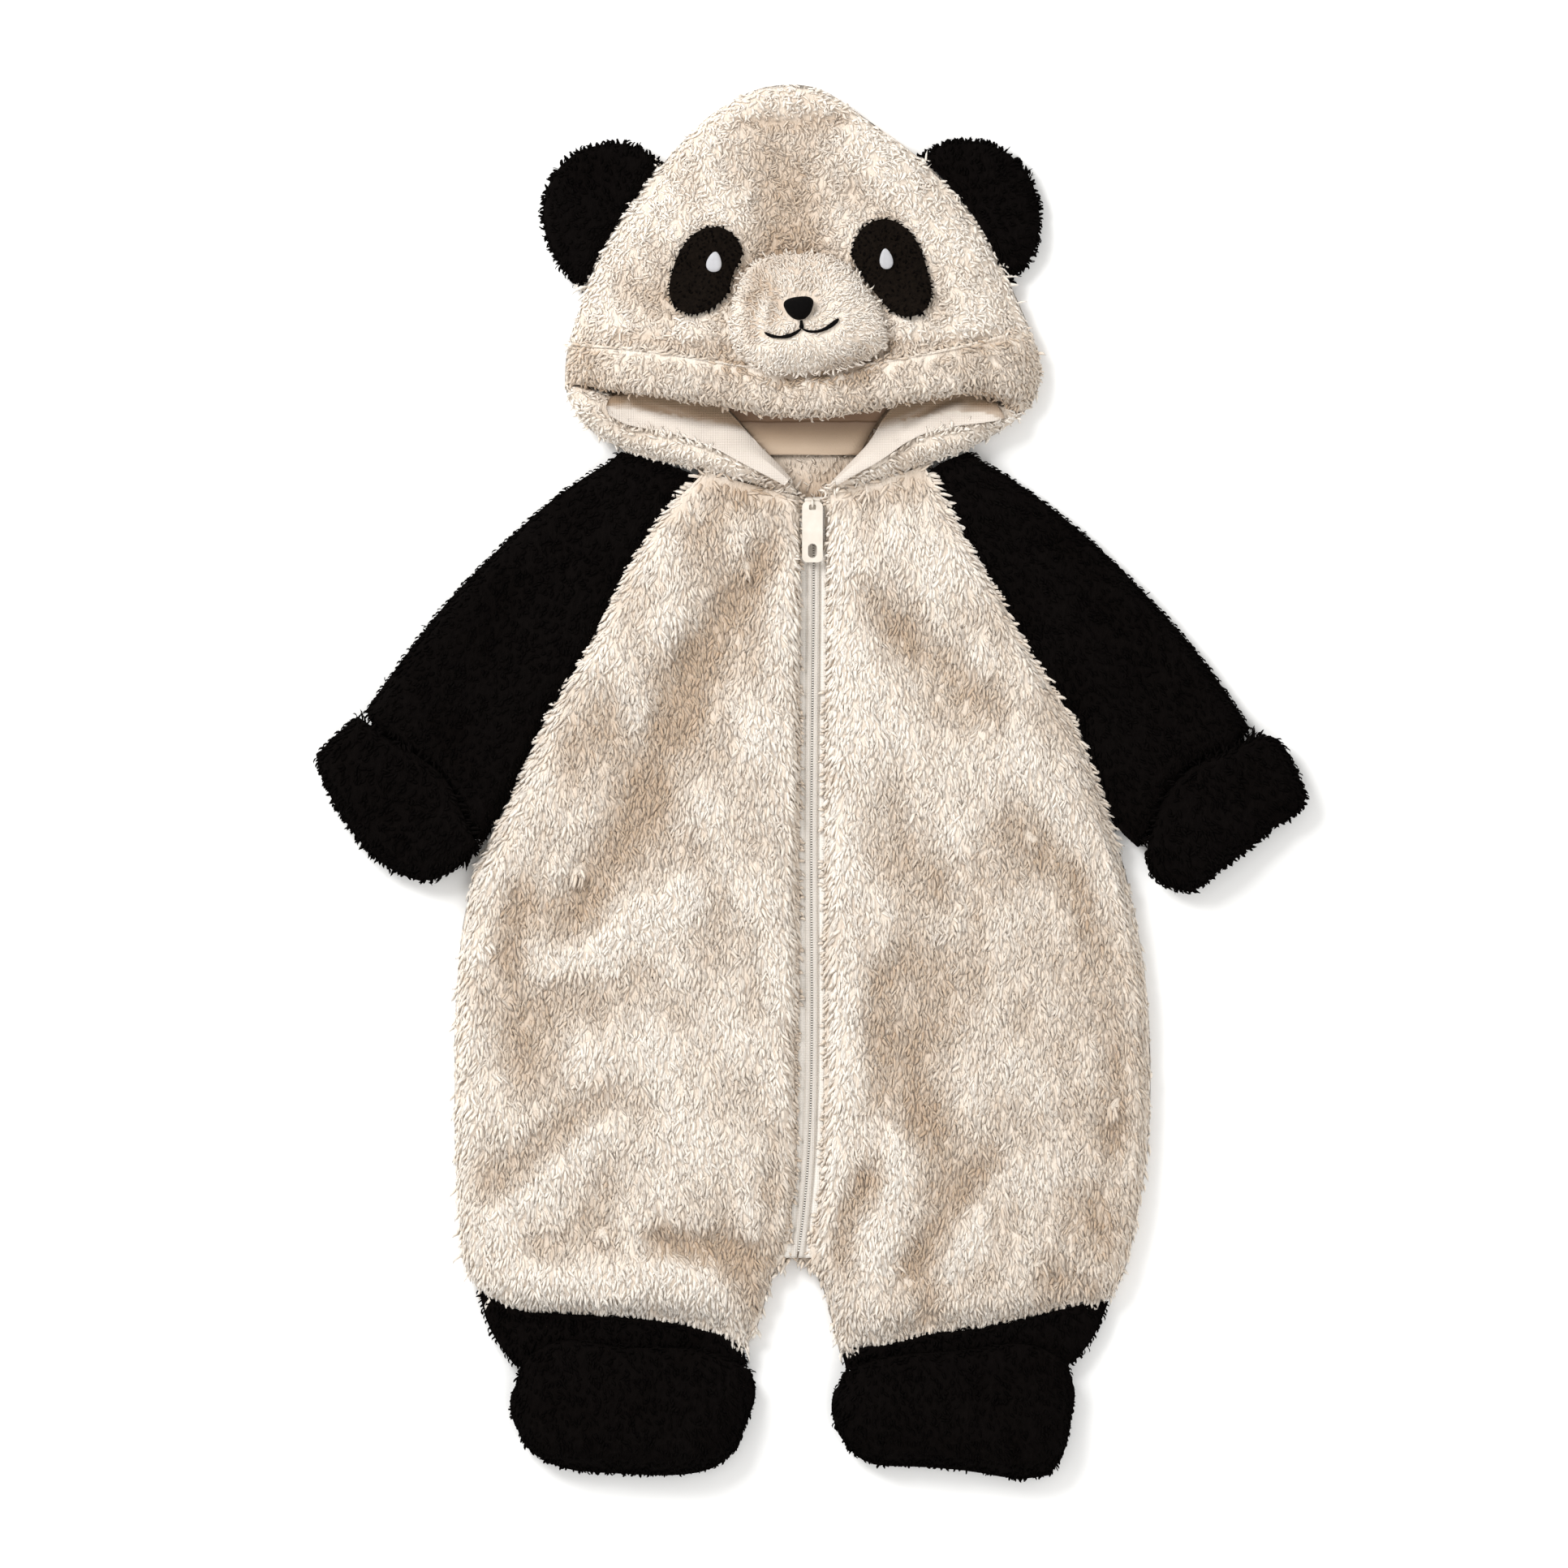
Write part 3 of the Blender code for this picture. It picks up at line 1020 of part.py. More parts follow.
def slider(x):
    """Slider at the top of the zip: a bevelled body with a wire bridge that holds the pull tab."""
    low = BACK_WALL + SEAM + TAPE_THICK + SEAM
    made = bmesh.new()
    bmesh.ops.create_cube(made, size=1)
    length = SLIDER_Y[1] - SLIDER_Y[0]
    bmesh.ops.scale(made, vec=(SLIDER_WIDTH, length, SLIDER_HEIGHT), verts=made.verts)
    for corner in made.verts:
        if corner.co.y < 0:
            corner.co.x *= 0.72
    bmesh.ops.bevel(
        made, geom=made.edges, offset=0.9, segments=2, profile=0.5, affect="EDGES",
        clamp_overlap=True,
    )
    centre = Vector((x, sum(SLIDER_Y) / 2, low + SLIDER_HEIGHT / 2))
    bmesh.ops.transform(made, matrix=Matrix.Scale(MM, 4) @ Matrix.Translation(centre), verts=made.verts)
    mesh = bpy.data.meshes.new("zip_slider")
    made.to_mesh(mesh)
    made.free()
    body = put("zip_slider", mesh, NYLON)
    bridge = bridge_wire(x, low + SLIDER_HEIGHT)
    union = body.modifiers.new("bridge", "BOOLEAN")
    union.operation = "UNION"
    union.object = bridge
    return body


def bridge_wire(x, level):
    """Upright wire arch over the pull tab's bar, with its feet inside the slider."""
    curve = bpy.data.curves.new("bridge", "CURVE")
    curve.dimensions = "3D"
    curve.bevel_depth = BRIDGE_WIRE * MM
    curve.bevel_resolution = 2
    curve.use_fill_caps = True
    bend = np.linspace(0, math.pi, 9)
    points = [(PULL_AXIS_Y - BRIDGE_HALF, level - 1.0)]
    points += [
        (PULL_AXIS_Y - BRIDGE_HALF * math.cos(a), level + BRIDGE_LEG + BRIDGE_HALF * math.sin(a))
        for a in bend
    ]
    points += [(PULL_AXIS_Y + BRIDGE_HALF, level - 1.0)]
    spline = curve.splines.new("POLY")
    spline.points.add(len(points) - 1)
    for point, (y, z) in zip(spline.points, points):
        point.co = (x * MM, y * MM, z * MM, 1)
    wire = bpy.data.objects.new("bridge_wire", curve)
    CUTTERS.objects.link(wire)
    bpy.context.view_layer.update()
    mesh = bpy.data.meshes.new_from_object(wire.evaluated_get(bpy.context.evaluated_depsgraph_get()))
    bpy.data.objects.remove(wire)
    made = bmesh.new()
    made.from_mesh(mesh)
    bmesh.ops.remove_doubles(made, verts=made.verts, dist=1e-6)
    bmesh.ops.recalc_face_normals(made, faces=made.faces)
    made.to_mesh(mesh)
    made.free()
    solid = bpy.data.objects.new("slider_bridge", mesh)
    solid.hide_render = True
    solid.display_type = "WIRE"
    CUTTERS.objects.link(solid)
    return solid


def outline_points(x, low, high, half, corner, steps=4):
    """Rounded rectangle in plan, from low to high along y, centred on x."""
    points = []
    for centre_x, centre_y, start in (
        (x + half - corner, high - corner, 0), (x - half + corner, high - corner, 90),
        (x - half + corner, low + corner, 180), (x + half - corner, low + corner, 270),
    ):
        for k in range(steps + 1):
            a = math.radians(start + 90 * k / steps)
            points.append((centre_x + corner * math.cos(a), centre_y + corner * math.sin(a)))
    return points


def pull_tab(x):
    """Pull tab: a flat strip with an eye at its pivot and an oval hole at its free end. Its origin
    is on the axis of the bar, which is the strip's end beyond the eye."""
    level = BACK_WALL + 2 * SEAM + TAPE_THICK + SLIDER_HEIGHT + PULL_AXIS_RISE
    curve = bpy.data.curves.new("zip_pull", "CURVE")
    curve.dimensions = "2D"
    curve.fill_mode = "BOTH"
    curve.extrude = PULL_THICK / 2 * MM
    eye_width, eye_far = PULL_EYE
    slot_width, slot_length, slot_y = PULL_SLOT
    shapes = (
        outline_points(0, -PULL_LENGTH, PULL_BAR + 0.2, PULL_WIDTH / 2, 2.6),
        outline_points(0, -eye_far, -PULL_BAR, eye_width / 2, 0.7, 2),
        outline_points(0, -slot_y - slot_length / 2, -slot_y + slot_length / 2, slot_width / 2, 2.2),
    )
    for shape in shapes:
        spline = curve.splines.new("POLY")
        spline.points.add(len(shape) - 1)
        for point, (px, py) in zip(spline.points, shape):
            point.co = (px * MM, py * MM, 0, 1)
        spline.use_cyclic_u = True
    flat = bpy.data.objects.new("pull_outline", curve)
    CUTTERS.objects.link(flat)
    bpy.context.view_layer.update()
    mesh = bpy.data.meshes.new_from_object(flat.evaluated_get(bpy.context.evaluated_depsgraph_get()))
    bpy.data.objects.remove(flat)
    made = bmesh.new()
    made.from_mesh(mesh)
    bmesh.ops.remove_doubles(made, verts=made.verts, dist=1e-6)
    bmesh.ops.recalc_face_normals(made, faces=made.faces)
    made.to_mesh(mesh)
    made.free()
    tab = put("zip_pull", mesh, NYLON)
    tab.location = (x * MM, PULL_AXIS_Y * MM, level * MM)
    return tab


def zip_fastener():
    """Zip: two tapes under the fronts, the coil along the middle, the slider and its pull tab."""
    rows = shares(14)
    low = BACK_WALL + SEAM
    zip_strip("zip_tape_left", -TAPE_REACH, -0.2, low, low + TAPE_THICK, rows, TAPE_CLOTH)
    zip_strip("zip_tape_right", 0.2, TAPE_REACH, low, low + TAPE_THICK, rows, TAPE_CLOTH)
    total = ZIP_LINE[0][1] - ZIP_LINE[-1][1]
    start = (ZIP_LINE[0][1] - SLIDER_Y[0] + SEAM) / total
    rows = start + (1 - start) * shares(14)
    low = low + TAPE_THICK + SEAM
    zip_strip("zip_coil", -COIL_WIDTH / 2, COIL_WIDTH / 2, low, low + COIL_THICK, rows, NYLON, 0.8)
    slider(ZIP_LINE[0][0])
    pull_tab(ZIP_LINE[0][0])


# Build ------------------------------------------------------------------------------------------

for existing in list(bpy.data.objects):
    bpy.data.objects.remove(existing)
GARMENT = collection("panda_onesie")
CUTTERS = collection("cutters")
CREAM_FLEECE = (CREAM, 0.95)
BLACK_PLUSH = (BLACK, 0.9)
LINING_CLOTH = (LINING, 0.85)
TAPE_CLOTH = ((0.80, 0.76, 0.72), 0.8)
NYLON = ((0.88, 0.84, 0.78), 0.45)
GLINT_CLOTH = ((0.78, 0.76, 0.84), 0.7)

back()
for name_side in ("left", "right"):
    front(name_side)
    sleeve(name_side)
    cuff(name_side)
    ankle(name_side)
    foot(name_side)
    flap(name_side)
    ear(name_side)
face(hood())
back_lining()
zip_fastener()
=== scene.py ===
# %% [markdown]
# # A panda onesie for a baby, lying on its back
# The real garment is long-pile fleece on a knitted backing: a cream body with a zip, black plush
# sleeves and feet, and a hood with ears and a face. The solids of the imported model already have
# each sewn piece's form. This script dresses them: every piece gets a soft shell with its creases,
# a pile of separate locks, and the sewing, lining and zip that show.

from types import SimpleNamespace

import bmesh
import bpy
import numpy as np
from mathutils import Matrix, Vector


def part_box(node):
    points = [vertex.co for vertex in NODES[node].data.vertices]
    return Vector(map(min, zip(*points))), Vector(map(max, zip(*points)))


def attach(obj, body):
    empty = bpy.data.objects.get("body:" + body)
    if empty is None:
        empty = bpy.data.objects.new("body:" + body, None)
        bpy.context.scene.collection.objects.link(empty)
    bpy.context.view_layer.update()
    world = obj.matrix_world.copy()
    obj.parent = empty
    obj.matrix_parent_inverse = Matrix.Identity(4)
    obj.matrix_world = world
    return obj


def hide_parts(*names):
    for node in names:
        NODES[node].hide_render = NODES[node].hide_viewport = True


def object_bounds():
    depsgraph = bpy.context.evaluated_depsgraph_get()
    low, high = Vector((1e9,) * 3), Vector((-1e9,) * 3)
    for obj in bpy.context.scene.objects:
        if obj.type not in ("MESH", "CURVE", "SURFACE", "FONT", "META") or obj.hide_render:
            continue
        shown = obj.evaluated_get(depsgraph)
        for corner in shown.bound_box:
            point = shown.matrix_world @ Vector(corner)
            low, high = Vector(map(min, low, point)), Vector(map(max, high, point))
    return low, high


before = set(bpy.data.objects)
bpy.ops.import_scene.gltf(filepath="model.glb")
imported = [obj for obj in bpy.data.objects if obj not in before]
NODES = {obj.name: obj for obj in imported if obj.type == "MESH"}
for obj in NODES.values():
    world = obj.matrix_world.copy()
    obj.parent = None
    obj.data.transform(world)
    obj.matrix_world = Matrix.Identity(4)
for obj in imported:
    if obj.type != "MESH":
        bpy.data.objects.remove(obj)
CAD_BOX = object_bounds()
MM = 0.001
print("solids", len(NODES), "box in mm", np.round(np.ptp(np.array(CAD_BOX), axis=0) / MM, 1))

# %% [markdown]
# ## Small tools for shapes
# A mesh could be made with Blender's own operators, but they depend on what is selected. Here a
# shape is worked out as numpy arrays of points and faces, in millimetres, and one function puts it
# into a mesh. Random numbers are seeded, so that each run gives the same garment.

# %% Put arrays into a mesh
def put(name, points, faces, material, uv=None, shade=None):
    """A mesh object of that name. faces is a list of arrays, one row of point numbers a face.

    uv gives a place on the texture for each point, and each corner of a face takes its point's.
    shade gives each point a number that materials read to paint light and shade into the colour:
    how deep it lies in a hollow, and on the zip's tapes how flat it is.
    """
    mesh = bpy.data.meshes.new(name)
    corner = np.concatenate([f.ravel() for f in faces]).astype(np.int32)
    sides = np.concatenate([np.full(len(f), f.shape[1], np.int32) for f in faces])
    mesh.vertices.add(len(points))
    mesh.vertices.foreach_set("co", (points * MM).astype(np.float32).ravel())
    mesh.loops.add(len(corner))
    mesh.loops.foreach_set("vertex_index", corner)
    mesh.polygons.add(len(sides))
    mesh.polygons.foreach_set("loop_start", (np.cumsum(sides) - sides).astype(np.int32))
    mesh.polygons.foreach_set("use_smooth", np.ones(len(sides), bool))
    if uv is not None:
        layer = mesh.uv_layers.new(name="OFBake")
        layer.data.foreach_set("uv", uv[corner].astype(np.float32).ravel())
    if shade is not None:
        layer = mesh.attributes.new("shade", "FLOAT", "POINT")
        layer.data.foreach_set("value", shade.astype(np.float32))
    mesh.update(calc_edges=True)
    mesh.materials.append(material)
    piece = bpy.data.objects.new(name, mesh)
    bpy.context.scene.collection.objects.link(piece)
    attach(piece, "garment")
    return piece


def loft(name, rings, material, shade=None):
    """Joins rings of points, given as (ring, point, xyz), into a closed body."""
    count, around = rings.shape[:2]
    first = np.arange(count - 1)[:, None] * around
    here, there = np.arange(around), (np.arange(around) + 1) % around
    sides = np.stack([first + here, first + there, first + around + there, first + around + here])
    ends = [here[None, ::-1], here[None] + (count - 1) * around]
    faces = [sides.transpose(1, 2, 0).reshape(-1, 4), *ends]
    return put(name, rings.reshape(-1, 3), faces, material, shade=shade)

# %% Smooth random fields
def drift(x, y, size, seed):
    """A smooth random number from about -1 to 1: six sine waves, each of its own direction."""
    rng = np.random.default_rng(seed)
    turn = rng.uniform(0, 2 * np.pi, 6)
    wave = 2 * np.pi / (size * rng.uniform(0.7, 1.5, 6))
    start = rng.uniform(0, 2 * np.pi, 6)
    phase = x[..., None] * np.cos(turn) * wave + y[..., None] * np.sin(turn) * wave + start
    return np.sin(phase).sum(-1) / 3.0


def normals_of(points, quads):
    """Each point's outward direction: the sum of the cross products of its faces' diagonals."""
    corners = points[quads]
    face = np.cross(corners[:, 2] - corners[:, 0], corners[:, 3] - corners[:, 1])
    total = np.zeros_like(points)
    for side in range(4):
        np.add.at(total, quads[:, side], face)
    return total / np.maximum(np.linalg.norm(total, axis=1, keepdims=True), 1e-9)

# %% [markdown]
# ## Where each solid is
# Pile grows only where a piece shows. Rays could test that point by point. A pair of height maps
# for each solid is quicker: its highest and lowest point over each small square of the floor. A
# place is covered where some solid's column holds it. To find the highest and lowest points, the
# solid's triangles are strewn with random points, three to the square millimetre.

# %% Points strewn over triangles
def triangles_of(name):
    """The corners of a solid's triangles in millimetres, one row of three points a triangle."""
    mesh = NODES[name].data
    mesh.calc_loop_triangles()
    points = np.empty(len(mesh.vertices) * 3, np.float32)
    mesh.vertices.foreach_get("co", points)
    index = np.empty(len(mesh.loop_triangles) * 3, np.int32)
    mesh.loop_triangles.foreach_get("vertices", index)
    return points.reshape(-1, 3)[index].reshape(-1, 3, 3) / MM


def spread_over(corners, per_mm2, rng):
    """Random points on triangles: a + u (b - a) + v (c - a), with u + v folded back below 1."""
    edge = corners[:, 1:] - corners[:, :1]
    area = np.linalg.norm(np.cross(edge[:, 0], edge[:, 1]), axis=1) / 2
    total = np.cumsum(area)
    pick = np.searchsorted(total, rng.random(int(total[-1] * per_mm2)) * total[-1])
    pick = np.minimum(pick, len(area) - 1)
    u, v = rng.random((2, len(pick)))
    over = u + v > 1
    return pick, np.where(over, 1 - u, u), np.where(over, 1 - v, v)

# %% Height maps of the solids
PITCH = 1.5  # mm, side of a square of the maps
MARGIN = 12  # mm of the maps that lie beyond the solids on each side
EMPTY = -100  # mm, higher than the maps' value where a solid isn't, lower than any cloth
LOW = np.array(CAD_BOX[0]) / MM - MARGIN
SIZE = np.ptp(np.array(CAD_BOX), axis=0) / MM + 2 * MARGIN
SHAPE = tuple(np.ceil(SIZE[:2] / PITCH).astype(int))


def square_of(places):
    """The square of the maps that each place lies over."""
    cell = ((places[..., :2] - LOW[:2]) / PITCH).astype(int)
    cell = np.clip(cell, 0, np.array(SHAPE) - 1)
    return cell[..., 0] * SHAPE[1] + cell[..., 1]


def columns_of(name):
    """(highest, lowest) of a solid over each square of the floor."""
    corners = triangles_of(name)
    pick, u, v = spread_over(corners, 3.0, np.random.default_rng(7))
    edge = corners[:, 1:] - corners[:, :1]
    places = corners[pick, 0] + u[:, None] * edge[pick, 0] + v[:, None] * edge[pick, 1]
    top = np.full(SHAPE[0] * SHAPE[1], 10.0 * EMPTY)
    bottom = -top
    np.maximum.at(top, square_of(places), places[:, 2])
    np.minimum.at(bottom, square_of(places), places[:, 2])
    return top, bottom


COLUMNS = {name: columns_of(name) for name in NODES}


def plan_of(*names):
    """1 over the squares of the floor that any of these solids covers, and 0 elsewhere."""
    top = np.max([COLUMNS[name][0] for name in names], axis=0)
    return (top > EMPTY).astype(float).reshape(SHAPE)


def inside(places, names, slack=0.4):
    """True where one of these solids' columns holds the place."""
    square = square_of(places)
    held = np.zeros(len(places), bool)
    for name in names:
        top, bottom = COLUMNS[name]
        held |= (places[:, 2] < top[square] - slack) & (places[:, 2] > bottom[square] + slack)
    return held


print("height maps", SHAPE, "squares of", PITCH, "mm")

# %% [markdown]
# Two things are read from the maps again and again. How deep a place lies under the cloth round
# it tells where shade is painted on the pile. How near it is to the edge of the pale cloth tells
# where light is painted on it, as the light from the side would fall. Both come from maps that are
# blurred by a running mean.

# %% How deep a place lies
def blurred(grid, reach):
    """A running mean over a square of that many cells, one way and then the other."""
    for axis in (0, 1):
        padded = np.pad(grid, [(reach, reach) if a == axis else (0, 0) for a in (0, 1)], "edge")
        total = np.insert(np.cumsum(padded, axis=axis), 0, 0, axis=axis)
        size = grid.shape[axis]
        ahead = np.take(total, range(2 * reach + 1, 2 * reach + 1 + size), axis=axis)
        grid = (ahead - np.take(total, range(size), axis=axis)) / (2 * reach + 1)
    return grid


NEARBY = 14  # squares, 21 mm
HEIGHT = np.maximum(np.max([top for top, bottom in COLUMNS.values()], axis=0), 0).reshape(SHAPE)
FILLED = blurred((HEIGHT > 0).astype(float), NEARBY)
SMOOTHED = (blurred(HEIGHT, NEARBY) / np.maximum(FILLED, 1e-3)).ravel()


def hollow(place):
    """How far a place lies below the average height of the cloth near it, from -1.5 to 5 mm."""
    return np.clip(SMOOTHED[square_of(place)] - place[:, 2] - 1.2, -1.5, 5)


print("average height of the cloth", np.round(HEIGHT[HEIGHT > 0].mean(), 1), "mm")

# %% How near a place is to an edge
BLACK = ("sleeve", "cuff", "ankle", "foot", "ear")
PALE = [name for name in NODES if not name.startswith(BLACK)]
BESIDE_PALE = blurred(plan_of(*PALE), 11).ravel()  # 0.5 at the edge of the pale cloth
GAIN = 2.2  # brings what is 0.5 at an edge to a little over 1
BESIDE_BAND = blurred(plan_of("hood_band"), 6).ravel()  # 0.5 at its edge, 0 from 10 mm beyond


def rim_of(place):
    """From 0 to 1 over the last 16 mm to the edge of the pale cloth, where painted light makes it
    brightest.
    """
    return np.clip(GAIN * (1 - BESIDE_PALE[square_of(place)]), 0, 1)


def edge_of(name, place):
    """(direction out of the piece, nearness to its edge, whether cloth lies beyond).

    The nearness goes from 0 to 1 over the last 5 mm. Cloth lies beyond where it is over 4 mm
    high 7 mm further out.
    """
    plan = blurred(plan_of(name), 3)
    slope = np.stack(np.gradient(-plan), axis=-1).reshape(-1, 2)[square_of(place)]
    out = slope / np.maximum(np.linalg.norm(slope, axis=1, keepdims=True), 1e-6)
    beyond = HEIGHT.ravel()[square_of(place[:, :2] + out * 7)] > 4
    return out, np.clip(GAIN * (1 - plan.ravel()[square_of(place)]), 0, 1), beyond

# %% [markdown]
# ## Shader maths as expressions
# A material's pattern is a sum of simple maps, and sums read best as sums. One small class wraps a
# socket, so that `ribs * 0.5 + rows * 0.5` adds its Math nodes. Colours go through Mix nodes.

# %% Sockets with arithmetic
class Wire:
    """An output socket. Arithmetic on it adds Math nodes to its material."""

    def __init__(self, paint, socket):
        self.paint = paint
        self.socket = socket

    def math(self, operation, first, second):
        """A Math node on two inputs, each a Wire or a number."""
        return self.paint.add("Math", {"operation": operation}, {0: first, 1: second})

    def __add__(self, other):
        return self.math("ADD", self, other)

    def __mul__(self, other):
        return self.math("MULTIPLY", self, other)

    def __sub__(self, other):
        return self.math("SUBTRACT", self, other)

    def __pow__(self, other):
        return self.math("POWER", self, other)

    __radd__ = __add__
    __rmul__ = __mul__


class Paint:
    """A material whose nodes are made one at a time by add."""

    def __init__(self, name):
        self.material = bpy.data.materials.new(name)
        self.material.use_nodes = True
        self.tree = self.material.node_tree
        self.shader = self.tree.nodes["Principled BSDF"]

    def add(self, kind, settings=(), sockets=(), output=0):
        """A node of that kind: its settings first, then its sockets. Gives one output."""
        node = self.tree.nodes.new("ShaderNode" + kind)
        for key, value in dict(settings).items():
            if key == "stops":
                self.stops(node.color_ramp, value)
            else:
                setattr(node, key, value)
        self.fill(node, dict(sockets))
        return Wire(self, node.outputs[output])

    def stops(self, ramp, rows):
        """rows are (place, colour) from left to right."""
        while len(ramp.elements) < len(rows):
            ramp.elements.new(0.5)
        for element, (place, colour) in zip(ramp.elements, rows):
            element.position = place
            element.color = (*colour, 1)

    def fill(self, node, sockets):
        """Gives each socket its value, or a link where the value is a Wire."""
        for key, value in sockets.items():
            if isinstance(value, Wire):
                self.tree.links.new(value.socket, node.inputs[key])
            else:
                node.inputs[key].default_value = value

    def mix(self, share, first, second, blend="MIX"):
        """A colour between two colours, or their product where blend is MULTIPLY."""
        ends = [(*c, 1) if isinstance(c, tuple) else c for c in (first, second)]
        settings = {"data_type": "RGBA", "blend_type": blend}
        return self.add("Mix", settings, {0: share, 6: ends[0], 7: ends[1]}, output=2)

    def painted_shade_and_light(self, colour, deep):
        """Painted shade and light: the colour, multiplied by deep where the shade attribute says
        the cloth lies in a hollow.
        """
        shade_share = self.add("Attribute", {"attribute_name": "shade"}, output=2)
        return self.mix(1.0, colour, self.mix(shade_share, (1.0, 1.0, 1.0), deep), "MULTIPLY")

    def ramp(self, value, rows):
        """A row of colours, read at a value from 0 to 1."""
        return self.add("ValToRGB", {"stops": rows}, {0: value})

    def noise(self, size, detail=2.0, rough=0.5, stretch=(1, 1, 1)):
        """Cloudy noise whose blots are about size millimetres, longer where stretch is over 1."""
        place = self.add("TexCoord", output="Object")
        scale = tuple(1 / (size * MM * s) for s in stretch)
        turned = self.add("Mapping", {}, {"Vector": place, "Scale": scale})
        sockets = {"Vector": turned, "Scale": 1.0, "Detail": detail, "Roughness": rough}
        return self.add("TexNoise", {}, sockets)

    def bump(self, height, depth):
        """A normal that follows the height, whose full range is depth millimetres."""
        sockets = {"Height": height, "Strength": 1.0, "Distance": depth * MM}
        return self.add("Bump", {}, sockets)

    def done(self, **sockets):
        """Fills the shader's own sockets, _ standing for a space, and gives the material."""
        self.fill(self.shader, {key.replace("_", " "): value for key, value in sockets.items()})
        return self.material

# %% [markdown]
# ## The fleece's colours
# Long pile is darker and warmer at its roots, where light hardly reaches, and palest at its tips.
# Each lock has a place on a small colour chart: across it goes the lock's own tone, up it the way
# from root to tip. The chart is the pile's UV map, so the colour follows each lock exactly. Light
# goes a little way into the pale fibres, so the cream has a weak, nearly white subsurface.

# %% Pile and backing of cream fleece and black plush
def pile(name, root, dark, light, sheen, soft, gloss=0.1):
    """The colour is (dark + across (light - dark)) times (root + up^0.7 (1 - root))."""
    paint = Paint(name)
    chart = paint.add("UVMap", {"uv_map": "OFBake"})
    across, up = (paint.add("SeparateXYZ", {}, {0: chart}, output=axis) for axis in (0, 1))
    shade = paint.mix(up ** 0.7, root, (1.0, 1.0, 1.0))
    colour = paint.mix(1.0, paint.mix(across, dark, light), shade, "MULTIPLY")
    return paint.done(
        Base_Color=colour,
        Roughness=0.92,
        Specular_IOR_Level=gloss,
        Sheen_Weight=sheen,
        Sheen_Roughness=0.5,
        Subsurface_Weight=soft,
        Subsurface_Radius=(0.9, 0.84, 0.78),
        Subsurface_Scale=3.0 * MM,
    )


PAINTED_SHADE_FLEECE = (0.60, 0.49, 0.39)  # light that is left on the backing in a deep crease


def backing(name, dark, light, stretch, gloss=0.1):
    """Clumps 2.2 mm wide and longer along stretch, on tones 34 mm wide, with shade painted in the
    creases and hollows.
    """
    paint = Paint(name)
    clumps = paint.noise(2.2, 3.0, 0.6, stretch)
    tones = paint.noise(34.0, 2.0, 0.5)
    colour = paint.ramp(clumps * 0.8 + tones * 0.2, [(0.3, dark), (0.7, light)])
    return paint.done(
        Base_Color=paint.painted_shade_and_light(colour, PAINTED_SHADE_FLEECE),
        Roughness=0.95,
        Specular_IOR_Level=gloss,
        Normal=paint.bump(clumps, 2.0),
    )


CREAM_PILE = pile(
    "cream_pile", (0.78, 0.745, 0.71), (0.50, 0.375, 0.27), (0.97, 0.882, 0.778), 0.1, 0.45
)
CREAM_BACKING = backing("cream_backing", (0.69, 0.60, 0.505), (0.81, 0.73, 0.64), (1, 3, 1))
BLACK_PILE = pile(
    "black_pile", (0.6, 0.6, 0.6), (0.0016, 0.0012, 0.0012), (0.006, 0.0048, 0.0044), 0, 0, 0.01
)
BLACK_BACKING = backing(
    "black_backing", (0.0026, 0.0020, 0.0019), (0.0045, 0.0035, 0.0032), (1, 2, 1), 0.01
)
